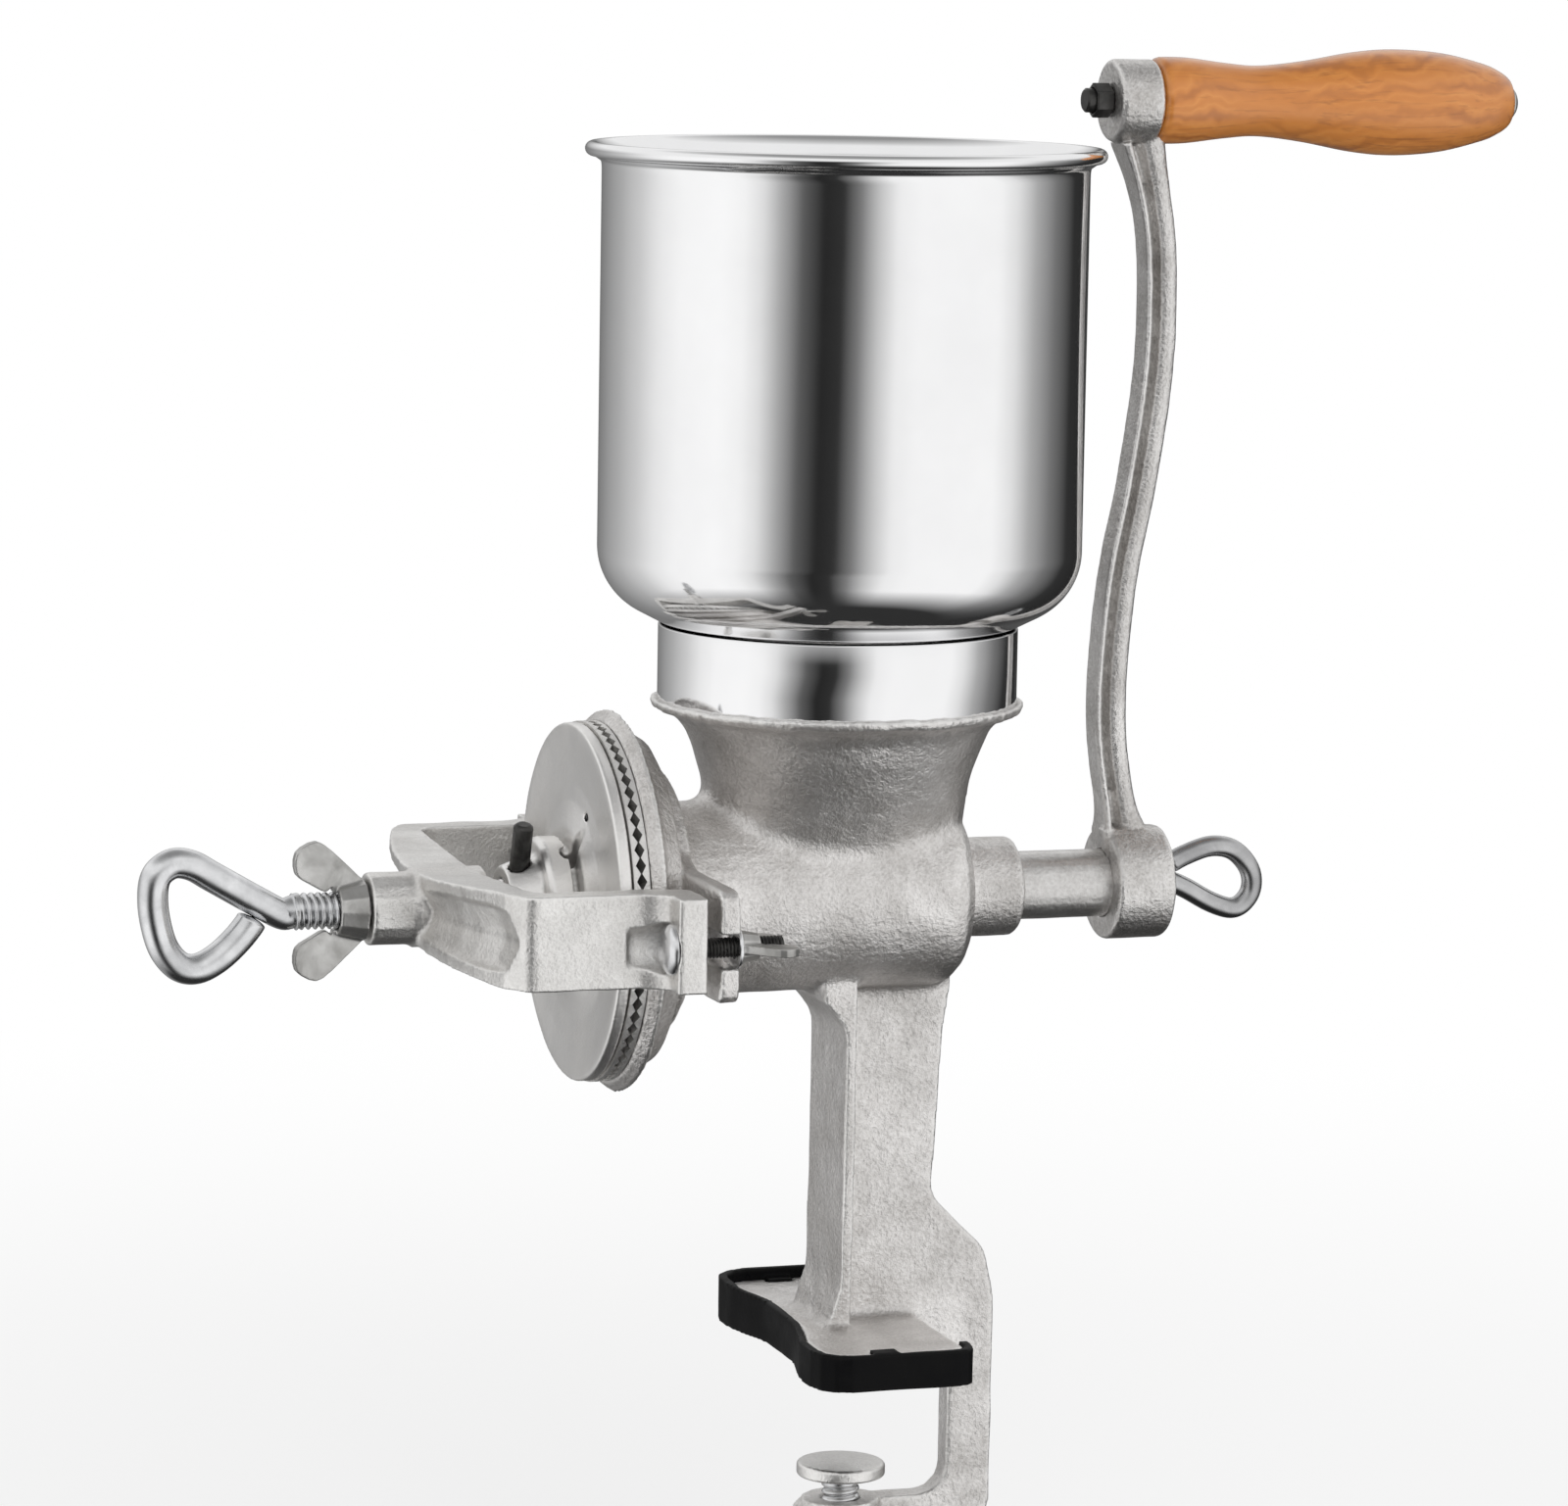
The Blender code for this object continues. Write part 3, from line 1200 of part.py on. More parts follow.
def make_yoke(parts, tools, look):
    height = 2 * YOKE_HALF_HEIGHT
    yoke = plate("yoke", yoke_outline(), height, parts, "XY", SHAFT_Z)
    for side in (-1, 1):
        cut(yoke, bridge_waist(side, tools))
    bevel(yoke, YOKE_EDGE)
    for side in (-1, 1):
        half = BOLT_NECK + SEAT_GAP
        low = (LUG_LEFT_X - OVERSHOOT, side * BOLT_Y - half, SHAFT_Z + BOLT_Z - half)
        high = (LUG_RIGHT_X + OVERSHOOT, side * BOLT_Y + half, SHAFT_Z + BOLT_Z + half)
        spot_radius = BOLT_HEAD_RADIUS + RUNNING_GAP
        spot = cylinder(f"lug_spotface_{side}", spot_radius, LUG_LEFT_X - SPOT_LENGTH, SPOT_FACE_X, tools, SHAFT_STEPS)
        lay_along_shaft(spot, SHAFT_Z + BOLT_Z, side * BOLT_Y)
        cut(yoke, spot)
        cut(yoke, box(f"lug_hole_{side}", low, high, tools))
    cut(yoke, bridge_channel(tools))
    profile = [
        (0, INNER_BOSS_X),
        (YOKE_BOSS_RADIUS, INNER_BOSS_X),
        (YOKE_BOSS_RADIUS + 0.001, INNER_BOSS_X - 0.001),
        (YOKE_BOSS_RADIUS + 0.001, BRIDGE_OUTER_X),
        (YOKE_BOSS_RADIUS, BRIDGE_OUTER_X - 0.001),
        (YOKE_BOSS_RADIUS, YOKE_BOSS_END_X + 0.0008),
        (YOKE_BOSS_RADIUS - 0.0008, YOKE_BOSS_END_X),
        (0, YOKE_BOSS_END_X),
    ]
    boss = turned("yoke_boss", profile, tools, SHAFT_STEPS)
    lay_along_shaft(boss)
    join(yoke, boss)
    thread = SCREW_RADIUS + RUNNING_GAP
    hole = cylinder("yoke_thread", thread, YOKE_BOSS_END_X - OVERSHOOT, INNER_BOSS_X + OVERSHOOT, tools, SHAFT_STEPS)
    lay_along_shaft(hole)
    cut(yoke, hole)
    return finish(yoke, look)


def make_adjusting_screw(parts, tools, looks):
    """Threaded shank with its end bent round into an eye for the fingers."""
    low, high = SCREW_END_X, SCREW_TIP_X
    edge = 0.0008
    profile = [
        (0, high),
        (SCREW_RADIUS - edge, high),
        (SCREW_RADIUS, high - edge),
        (SCREW_RADIUS, low + edge),
        (SCREW_RADIUS - edge, low),
        (0, low),
    ]
    screw = turned("adjusting_screw", profile, parts, SHAFT_STEPS)
    lay_along_shaft(screw)
    bend = SCREW_END_X
    bends = [(0.0040, 0)] + [(-along, rise) for along, rise in ADJUSTING_EYE]
    path = [(bend + along, 0, rise) for along, rise in bends]
    eye = rod("adjusting_eye", path, EYE_ROD_RADIUS, tools, SHAFT_Z)
    join(screw, eye)
    finish(screw, looks["zinc steel"])
    pad_left = THRUST_PAD_X - THRUST_PAD_LENGTH
    profile = [
        (0, THRUST_PAD_X),
        (THRUST_PAD_RADIUS, THRUST_PAD_X),
        (THRUST_PAD_RADIUS, pad_left),
        (0, pad_left),
    ]
    pad = turned("thrust_pad", profile, parts, SMALL_STEPS)
    lay_along_shaft(pad)
    finish(pad, looks["burr iron"])


def wing_outline(span, sweep, hub_radius, length):
    """Half outline of a wing nut's lobes: from the hub out to the tip and back."""
    return [
        (-WING_SETBACK - length * 0.1, hub_radius * 0.6, 0),
        (-WING_SETBACK, hub_radius * 0.92, 0),
        (-sweep * 0.45, span * 0.82, WING_CORNER),
        (-sweep * 0.68, span, WING_CORNER),
        (-sweep, span * 0.83, WING_CORNER),
        (-sweep, span * 0.50, WING_CORNER),
        (-sweep * 0.59, span * 0.27, WING_CORNER),
    ]


def wing_nut(name, direction, length, hub_radius, bore, span, sweep, thickness, plane, parts, tools):
    """Wing nut: a tapered hub with two lobes swept away from its face."""
    profile = [
        (hub_radius, 0),
        (hub_radius * NUT_TAPER, -length),
        (bore, -length),
        (bore, 0),
    ]
    if direction > 0:
        profile = [(radius, -height) for radius, height in profile[::-1]]
    nut = turned(name, profile, parts, SMALL_STEPS, ring=True)
    half = wing_outline(span, sweep, hub_radius, length)
    upper = rounded([(x * -direction, y, radius) for x, y, radius in half], 2)
    lower = [(x, -y) for x, y in upper[::-1]]
    inner_x = direction * sweep * 0.45
    outline = upper + [(inner_x, bore * 1.25), (inner_x, -bore * 1.25)] + lower
    wings = plate(f"{name}_wings", outline, thickness, tools, plane)
    clear = cylinder(f"{name}_bore", bore, -0.05, 0.05, tools)
    return nut, wings, clear


def place_on_axis(objects, x, y, z):
    nut, wings, clear = objects
    lay_along_shaft(nut, z, y)
    lay_along_shaft(clear, z, y)
    nut.location.x = x
    clear.location.x = x
    wings.location = (x, y, z)


def make_lock_nut(parts, tools, look):
    face = YOKE_BOSS_END_X - LOCK_NUT_GAP
    bore = SCREW_RADIUS + RUNNING_GAP
    made = wing_nut(
        "lock_wing_nut", -1, LOCK_NUT_LENGTH, LOCK_NUT_RADIUS, bore,
        LOCK_WING_SPAN, LOCK_WING_SWEEP, LOCK_WING_THICKNESS, "XZ", parts, tools,
    )
    place_on_axis(made, face, 0, SHAFT_Z)
    nut, wings, clear = made
    join(nut, wings)
    cut(nut, clear)
    return finish(nut, look)


def make_yoke_bolt(side, parts, tools, looks):
    """Carriage bolt, washer and wing nut at one end of the yoke."""
    label = "rear" if side > 0 else "front"
    y, z = side * BOLT_Y, SHAFT_Z + BOLT_Z
    head_x = SPOT_FACE_X - SEAT_GAP
    neck_x = head_x + BOLT_NECK_LENGTH
    dome = [
        (BOLT_HEAD_RADIUS * sin(angle), head_x - BOLT_HEAD_HEIGHT * cos(angle))
        for angle in (pi / 2, pi / 2 * 0.75, pi / 2 * 0.5, pi / 2 * 0.25)
    ]
    profile = [
        (0, BOLT_END_X),
        (BOLT_RADIUS - 0.0005, BOLT_END_X),
        (BOLT_RADIUS, BOLT_END_X - 0.0005),
        (BOLT_RADIUS, head_x),
    ] + dome + [(0, head_x - BOLT_HEAD_HEIGHT)]
    bolt = turned(f"{label}_bolt", profile, parts, SMALL_STEPS)
    lay_along_shaft(bolt, z, y)
    low = (head_x - 0.0005, y - BOLT_NECK, z - BOLT_NECK)
    high = (neck_x, y + BOLT_NECK, z + BOLT_NECK)
    join(bolt, box(f"{label}_bolt_neck", low, high, tools))
    finish(bolt, looks["zinc steel"])

    inner = BOLT_RADIUS + RUNNING_GAP
    right = WASHER_LEFT_X + SMALL_WASHER_THICKNESS
    ring = [
        (SMALL_WASHER_RADIUS, right),
        (SMALL_WASHER_RADIUS, WASHER_LEFT_X),
        (inner, WASHER_LEFT_X),
        (inner, right),
    ]
    washer = turned(f"{label}_washer", ring, parts, SHAFT_STEPS, ring=True)
    lay_along_shaft(washer, z, y)
    finish(washer, looks["zinc steel"])

    name = f"{label}_wing_nut"
    made = wing_nut(
        name, 1, SMALL_NUT_LENGTH, SMALL_NUT_RADIUS, inner,
        SMALL_WING_SPAN, SMALL_WING_SWEEP, SMALL_WING_THICKNESS, "XY", parts, tools,
    )
    place_on_axis(made, SMALL_NUT_X, y, z)
    nut, wings, clear = made
    join(nut, wings)
    cut(nut, clear)
    finish(nut, looks["zinc steel"])


def crank_section(tools):
    """Cross section of the crank's arm: a flange toward the hopper and a narrower stem."""
    flange, stem = ARM_FLANGE_WIDTH / 2, ARM_STEM_WIDTH / 2
    left, step, right = -ARM_DEPTH_X / 2, -ARM_DEPTH_X / 2 + ARM_FLANGE, ARM_DEPTH_X / 2
    outline = rounded(
        [
            (left, -flange, 0),
            (step, -flange, 0),
            (step + 0.001, -stem, 0),
            (right, -stem, 0.0020),
            (right, stem, 0.0020),
            (step + 0.001, stem, 0),
            (step, flange, 0),
            (left, flange, 0),
        ],
        1,
    )
    curve = bpy.data.curves.new("crank_section", "CURVE")
    curve.dimensions = "2D"
    spline = curve.splines.new("POLY")
    spline.points.add(len(outline) - 1)
    for point, (x, y) in zip(spline.points, outline):
        point.co = (x, y, 0, 1)
    spline.use_cyclic_u = True
    section = link(bpy.data.objects.new("crank_section", curve), tools)
    section.hide_render = True
    section.display_type = "WIRE"
    return section


def crank_arm_sweep(tools):
    """The arm's bar: its section swept along the bent centreline."""
    section = crank_section(tools)
    curve = bpy.data.curves.new("crank_bar", "CURVE")
    curve.dimensions = "3D"
    curve.bevel_mode = "OBJECT"
    curve.bevel_object = section
    curve.use_fill_caps = True
    curve.resolution_u = 3
    spline = curve.splines.new("BEZIER")
    spline.bezier_points.add(len(CRANK_CENTRELINE) - 1)
    for point, (x, z) in zip(spline.bezier_points, CRANK_CENTRELINE):
        point.co = (x, 0, SHAFT_Z + z)
        point.handle_left_type = "AUTO"
        point.handle_right_type = "AUTO"
    spline.bezier_points[-1].radius = ARM_TIP_SCALE
    obj = link(bpy.data.objects.new("crank_bar", curve), tools)
    bar = curve_to_mesh(obj, tools)
    bpy.data.objects.remove(section, do_unlink=True)
    return bar


def make_crank(parts, tools, look):
    left, right, edge = CRANK_HUB_X, CRANK_HUB_END_X, CRANK_HUB_EDGE
    profile = [
        (0, right),
        (CRANK_HUB_RADIUS - edge, right),
        (CRANK_HUB_RADIUS - edge * 0.3, right - edge * 0.3),
        (CRANK_HUB_RADIUS, right - edge),
        (CRANK_HUB_RADIUS, left + edge),
        (CRANK_HUB_RADIUS - edge * 0.3, left + edge * 0.3),
        (CRANK_HUB_RADIUS - edge, left),
        (0, left),
    ]
    crank = turned("crank_arm", profile, parts, ROUND_STEPS)
    lay_along_shaft(crank)
    join(crank, crank_arm_sweep(tools))
    boss_right = GRIP_BOSS_X + GRIP_BOSS_LENGTH
    boss_profile = [
        (0, boss_right),
        (GRIP_BOSS_RADIUS - 0.001, boss_right),
        (GRIP_BOSS_RADIUS, boss_right - 0.001),
        (GRIP_BOSS_RADIUS, GRIP_BOSS_X + 0.001),
        (GRIP_BOSS_RADIUS - 0.001, GRIP_BOSS_X),
        (0, GRIP_BOSS_X),
    ]
    boss = turned("grip_boss", boss_profile, tools, SHAFT_STEPS)
    lay_along_shaft(boss, GRIP_Z)
    join(crank, boss)

    bore = cylinder("crank_bore", SHAFT_RADIUS + SEAT_GAP, left - OVERSHOOT, SHAFT_END_X + SEAT_GAP, tools, SHAFT_STEPS)
    lay_along_shaft(bore)
    cut(bore, *shaft_flats(tools, SEAT_GAP))
    cut(crank, bore)
    screw = cylinder("crank_screw_hole", EYE_BOLT_RADIUS + SEAT_GAP, SHAFT_END_X - 0.004, right + OVERSHOOT, tools)
    lay_along_shaft(screw)
    cut(crank, screw)
    spindle = cylinder("spindle_hole", SPINDLE_RADIUS + SEAT_GAP, GRIP_BOSS_X - OVERSHOOT, boss_right + OVERSHOOT, tools)
    lay_along_shaft(spindle, GRIP_Z)
    cut(crank, spindle)
    return finish(crank, look)


def make_eye_bolt(parts, look):
    """Eye bolt screwed into the shaft's end through the crank's hub."""
    face = CRANK_HUB_END_X
    path = [(SHAFT_END_X - EYE_BOLT_DEPTH + SEAT_GAP, 0, 0), (face - 0.004, 0, 0)]
    path += [(face + along, 0, rise) for along, rise in CRANK_EYE]
    bolt = rod("crank_eye_bolt", path, EYE_BOLT_RADIUS, parts, SHAFT_Z)
    return finish(bolt, look)


def make_grip(parts, tools, looks):
    start, end = GRIP_START_X, GRIP_START_X + GRIP_LENGTH
    bore = SPINDLE_RADIUS + RUNNING_GAP
    outside = [(radius, start + x) for x, radius in GRIP_PROFILE[::-1]]
    profile = outside + [(bore, start), (bore, end)]
    grip = turned("grip_handle", profile, parts, 20, ring=True)
    lay_along_shaft(grip, GRIP_Z)
    finish(grip, looks["grip wood"])

    cap_x = end + SEAT_GAP
    cap_end = cap_x + SPINDLE_CAP_LENGTH
    tail = GRIP_BOSS_X - SPINDLE_TAIL
    profile = [
        (0, cap_end),
        (SPINDLE_CAP_RADIUS - 0.0015, cap_end),
        (SPINDLE_CAP_RADIUS, cap_end - 0.0012),
        (SPINDLE_CAP_RADIUS, cap_x),
        (SPINDLE_RADIUS, cap_x),
        (SPINDLE_RADIUS, tail + 0.0006),
        (SPINDLE_RADIUS - 0.0006, tail),
        (0, tail),
    ]
    spindle = turned("grip_spindle", profile, parts, SMALL_STEPS)
    lay_along_shaft(spindle, GRIP_Z)
    finish(spindle, looks["zinc steel"])

    hexagon = []
    for i in range(6):
        turn = pi / 3 * i + pi / 6
        reach = NUT_FLATS / 2 / cos(pi / 6)
        hexagon.append((reach * cos(turn), GRIP_Z + reach * sin(turn)))
    middle = GRIP_BOSS_X - SEAT_GAP - NUT_LENGTH / 2
    nut = plate("spindle_nut", hexagon, NUT_LENGTH, parts, "YZ", middle)
    hole = cylinder("spindle_nut_hole", SPINDLE_RADIUS + SEAT_GAP, tail - OVERSHOOT, GRIP_BOSS_X, tools)
    lay_along_shaft(hole, GRIP_Z)
    cut(nut, hole)
    finish(nut, looks["black steel"])


def make_clamp(parts, tools, looks):
    """Clamp screw from below with its bent eye, and the swivel pad on its tip."""
    pad_top = ARM_TOP_Z + PAD_CLEAR + PAD_THICKNESS
    pad_bottom = pad_top - PAD_THICKNESS
    socket = CLAMP_SCREW_RADIUS * 0.62 + RUNNING_GAP
    tip_z = pad_bottom + PAD_SOCKET - SEAT_GAP
    pad_profile = [
        (0, pad_top),
        (PAD_RADIUS - 0.001, pad_top),
        (PAD_RADIUS, pad_top - 0.001),
        (PAD_RADIUS, pad_bottom + 0.0015),
        (CLAMP_SCREW_RADIUS + 0.002, pad_bottom),
        (socket, pad_bottom),
        (socket, pad_bottom + PAD_SOCKET),
        (0, pad_bottom + PAD_SOCKET),
    ]
    pad = turned("clamp_pad", pad_profile, parts, SHAFT_STEPS)
    pad.location.x = CLAMP_X
    finish(pad, looks["cast metal"])

    shoulder = pad_bottom - SEAT_GAP
    low = ARM_BOTTOM_Z - CLAMP_SCREW_DROP
    profile = [
        (0, tip_z),
        (socket - RUNNING_GAP, tip_z),
        (socket - RUNNING_GAP, shoulder),
        (CLAMP_SCREW_RADIUS, shoulder),
        (CLAMP_SCREW_RADIUS, low),
        (0, low),
    ]
    screw = turned("clamp_screw", profile, parts, SHAFT_STEPS)
    screw.location.x = CLAMP_X
    path = [(CLAMP_X, 0, low + SCREW_ROOT)] + [(CLAMP_X + across, 0, low - drop) for drop, across in CLAMP_EYE]
    join(screw, rod("clamp_eye", path, CLAMP_EYE_ROD, tools))
    finish(screw, looks["zinc steel"])


def mount_on_axes(parts):
    """Gathers what turns together under an empty on its axis."""
    screws = [f"rotating_burr_screw_{i}" for i in (1, 2)]
    turning = ["auger", "drive_pin", "rotor_disc", "rotating_burr", "crank_arm", "grip_spindle", "spindle_nut"]
    drive = carried_on("crank_axis", (0, 0, SHAFT_Z), None, [parts[name] for name in turning + screws])
    carried_on("eye_bolt_axis", (CRANK_HUB_END_X, 0, SHAFT_Z), drive, [parts["crank_eye_bolt"]])
    carried_on("grip_axis", (GRIP_START_X, 0, GRIP_Z), drive, [parts["grip_handle"]])
    travel = carried_on("adjusting_axis", (SCREW_TIP_X, 0, SHAFT_Z), None, [parts["thrust_pad"]])
    carried_on("adjusting_turn", (SCREW_END_X, 0, SHAFT_Z), travel, [parts["adjusting_screw"]])


def main():
    clear_scene()
    parts = new_collection("hand_crank_grain_mill")
    tools = new_collection("cutters")
    looks = {
        "cast metal": material("cast metal", (0.55, 0.54, 0.52), 0.42, 1.0),
        "polished sheet": material("polished sheet", (0.82, 0.82, 0.83), 0.12, 1.0),
        "zinc steel": material("zinc steel", (0.66, 0.67, 0.69), 0.25, 1.0),
        "burr iron": material("burr iron", (0.24, 0.23, 0.22), 0.50, 1.0),
        "black steel": material("black steel", (0.05, 0.05, 0.05), 0.40, 1.0),
        "grip wood": material("grip wood", (0.62, 0.32, 0.12), 0.45, 0.0),
        "black rubber": material("black rubber", (0.02, 0.02, 0.022), 0.60, 0.0),
    }
    make_body(parts, tools, looks["cast metal"])
    make_boot(parts, tools, looks["black rubber"])
    make_hopper(parts, looks)
    make_burrs(parts, tools, looks)
    make_auger(parts, tools, looks["cast metal"])
    make_drive_pin(parts, looks["black steel"])
    make_thrust_washer(parts, looks["zinc steel"])
    make_rotor(parts, tools, looks["cast metal"])
    make_yoke(parts, tools, looks["cast metal"])
    make_adjusting_screw(parts, tools, looks)
    make_lock_nut(parts, tools, looks["zinc steel"])
    for side in (-1, 1):
        make_yoke_bolt(side, parts, tools, looks)
    make_crank(parts, tools, looks["cast metal"])
    make_eye_bolt(parts, looks["zinc steel"])
    make_grip(parts, tools, looks)
    make_clamp(parts, tools, looks)
    mount_on_axes(parts.objects)
    bpy.context.view_layer.update()


main()
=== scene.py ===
import math
import random

import bmesh
import bpy
import numpy as np
from mathutils import Matrix, Vector


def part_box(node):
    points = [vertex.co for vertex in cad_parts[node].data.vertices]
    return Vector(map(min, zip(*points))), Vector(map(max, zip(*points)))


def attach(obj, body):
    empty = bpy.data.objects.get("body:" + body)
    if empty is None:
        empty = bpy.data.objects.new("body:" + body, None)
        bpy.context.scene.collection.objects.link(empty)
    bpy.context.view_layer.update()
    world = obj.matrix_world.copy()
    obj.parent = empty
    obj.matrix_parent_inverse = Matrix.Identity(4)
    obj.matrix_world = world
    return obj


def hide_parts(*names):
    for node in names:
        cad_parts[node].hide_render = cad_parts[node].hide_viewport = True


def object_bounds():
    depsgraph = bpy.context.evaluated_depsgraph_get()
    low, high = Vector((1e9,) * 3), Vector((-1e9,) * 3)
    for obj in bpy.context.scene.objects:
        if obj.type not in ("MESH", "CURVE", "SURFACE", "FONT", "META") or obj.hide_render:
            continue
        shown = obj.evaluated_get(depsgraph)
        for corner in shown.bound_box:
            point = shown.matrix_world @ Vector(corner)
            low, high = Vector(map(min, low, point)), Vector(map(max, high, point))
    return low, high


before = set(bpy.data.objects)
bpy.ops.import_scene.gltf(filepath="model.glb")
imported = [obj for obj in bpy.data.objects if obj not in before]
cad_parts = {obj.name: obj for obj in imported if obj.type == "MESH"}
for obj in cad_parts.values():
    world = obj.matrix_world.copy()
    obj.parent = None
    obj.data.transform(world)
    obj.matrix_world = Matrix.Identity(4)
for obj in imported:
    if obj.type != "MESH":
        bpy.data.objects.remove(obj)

solidLow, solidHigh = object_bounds()
scene = bpy.context.scene
shaftZ = 0.146  # height of the shaft above the foot
print("frame loaded:", len(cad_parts), "nodes")

# camera, standing where the photograph was taken from
view = {
    "azimuth": 18.47, "elevation": 7.91, "roll": 0.97, "place": (-0.6115, -1.7801, 0.4510),
    "lens": 140.33, "sensor": 36.0, "nearest": 0.05, "farthest": 60.0,
}


def makeCamera():
    azimuth, elevation, roll = (math.radians(view[key]) for key in ("azimuth", "elevation", "roll"))
    ahead = Vector((
        math.sin(azimuth) * math.cos(elevation),
        math.cos(azimuth) * math.cos(elevation),
        -math.sin(elevation),
    ))
    level = Vector((math.cos(azimuth), -math.sin(azimuth), 0))
    upright = level.cross(ahead)
    right = level * math.cos(roll) + upright * math.sin(roll)
    up = upright * math.cos(roll) - level * math.sin(roll)
    turn = Matrix((right, up, -ahead)).transposed().to_4x4()
    data = bpy.data.cameras.new("camera")
    data.lens = view["lens"]
    data.sensor_width = view["sensor"]
    data.clip_start = view["nearest"]
    data.clip_end = view["farthest"]
    camera = bpy.data.objects.new("camera", data)
    scene.collection.objects.link(camera)
    camera.matrix_world = Matrix.Translation(view["place"]) @ turn
    scene.camera = camera


makeCamera()
scene.view_settings.view_transform = "Standard"
print("camera placed")


# small helpers for node trees: a value that is a socket gets linked, any other gets set
def feed(tree, node, values):
    for key, value in values.items():
        socket = node.inputs[key]
        if isinstance(value, bpy.types.NodeSocket):
            tree.links.new(value, socket)
        else:
            socket.default_value = (*value, 1) if socket.type == "RGBA" else value


def put(tree, kind, values=None, **settings):
    made = tree.nodes.new(kind)
    for key, value in settings.items():
        setattr(made, key, value)
    feed(tree, made, values or {})
    return made.outputs


def maths(tree, operation, *values):
    return put(tree, "ShaderNodeMath", dict(enumerate(values)), operation=operation)[0]


def vectors(tree, operation, *values):
    return put(tree, "ShaderNodeVectorMath", dict(enumerate(values)), operation=operation)


def noise(tree, place, scale, detail, roughness=0.5, distortion=0.0):
    return put(tree, "ShaderNodeTexNoise", {
        "Vector": place, "Scale": scale, "Detail": detail, "Roughness": roughness,
        "Distortion": distortion,
    })


def between(tree, value, low, high, fromLow=0.3, fromHigh=0.7, **settings):
    return put(tree, "ShaderNodeMapRange", {
        "Value": value, "From Min": fromLow, "From Max": fromHigh, "To Min": low, "To Max": high,
    }, **settings)["Result"]


def mix(tree, factor, first, second):
    return put(tree, "ShaderNodeMix", {0: factor, 6: first, 7: second}, data_type="RGBA")[2]


def bump(tree, height, strength, distance):
    values = {"Height": height, "Strength": strength, "Distance": distance}
    return put(tree, "ShaderNodeBump", values)["Normal"]


def ramp(tree, factor, stops):
    made = tree.nodes.new("ShaderNodeValToRGB")
    elements = made.color_ramp.elements
    while len(elements) < len(stops):
        elements.new(0.5)
    for element, (place, colour) in zip(elements, stops):
        element.position = place
        element.color = (*colour, 1)
    feed(tree, made, {"Fac": factor})
    return made.outputs["Color"]


def grey(value):
    return (value, value, value)


def newGroup(name, inputs, outputs):
    tree = bpy.data.node_groups.new(name, "ShaderNodeTree")
    for label, value in inputs.items():
        kind = "NodeSocketVector" if isinstance(value, tuple) else "NodeSocketFloat"
        socket = tree.interface.new_socket(label, in_out="INPUT", socket_type=kind)
        socket.default_value = value
    for label in outputs:
        tree.interface.new_socket(label, in_out="OUTPUT", socket_type="NodeSocketFloat")
    return tree, tree.nodes.new("NodeGroupInput").outputs, tree.nodes.new("NodeGroupOutput")


# sand-cast grain: fine specks, shallow pits, a wider ripple and a slow drift of tone
def makeCastGrain():
    inputs = {"Grain": 900.0, "Drift": 45.0}
    tree, given, result = newGroup("cast grain", inputs, ("Height", "Specks", "Tone"))
    place = put(tree, "ShaderNodeTexCoord")["Object"]
    fine = noise(tree, place, given["Grain"], 3.0, 0.62)["Fac"]
    ripple = noise(tree, place, 170.0, 2.0, 0.5, 1.2)["Fac"]
    coarser = maths(tree, "MULTIPLY", given["Grain"], 0.42)
    pits = put(tree, "ShaderNodeTexVoronoi", {"Vector": place, "Scale": coarser, "Randomness": 1.0},
               feature="SMOOTH_F1")["Distance"]
    pitted = maths(tree, "MULTIPLY_ADD", pits, 0.55, fine)
    feed(tree, result, {
        "Height": maths(tree, "MULTIPLY_ADD", ripple, 0.7, pitted),
        "Specks": fine,
        "Tone": noise(tree, place, given["Drift"], 5.0, 0.6, 0.4)["Fac"],
    })
    return tree


# rubbed edges made lighter, partly a painted highlight, and painted shade in the corners, from how
# sharply the surface bends
def makeEdgeWearAndPaintedLight():
    tree, given, result = newGroup("edge wear and painted light", {"Width": 0.04}, ("Edge", "Corner"))
    bend = put(tree, "ShaderNodeNewGeometry")["Pointiness"]
    above = maths(tree, "ADD", given["Width"], 0.5)
    below = maths(tree, "SUBTRACT", 0.5, given["Width"])
    feed(tree, result, {
        "Edge": between(tree, bend, 0.0, 1.0, 0.505, above),
        # painted shade where the surface folds inward
        "Corner": between(tree, bend, 1.0, 0.0, below, 0.495),
    })
    return tree


# fine lines left by polishing, stretched along one direction, and a soft haze
def makeToolLines():
    inputs = {"Stretch": (1.0, 1.0, 1.0), "Scale": 300.0}
    tree, given, result = newGroup("tool lines", inputs, ("Lines", "Haze"))
    place = put(tree, "ShaderNodeTexCoord")["Object"]
    scaled = vectors(tree, "MULTIPLY", place, given["Stretch"])[0]
    feed(tree, result, {
        "Lines": noise(tree, scaled, given["Scale"], 4.0, 0.7)["Fac"],
        "Haze": noise(tree, place, 22.0, 4.0, 0.6)["Fac"],
    })
    return tree


castGrain = makeCastGrain()
edgeWearAndPaintedLight = makeEdgeWearAndPaintedLight()
toolLines = makeToolLines()


def newMaterial(name):
    made = bpy.data.materials.new(name)
    made.use_nodes = True
    tree = made.node_tree
    return made, tree, tree.nodes["Principled BSDF"]


def placeGroup(tree, group, **values):
    return put(tree, "ShaderNodeGroup", values, node_tree=group)
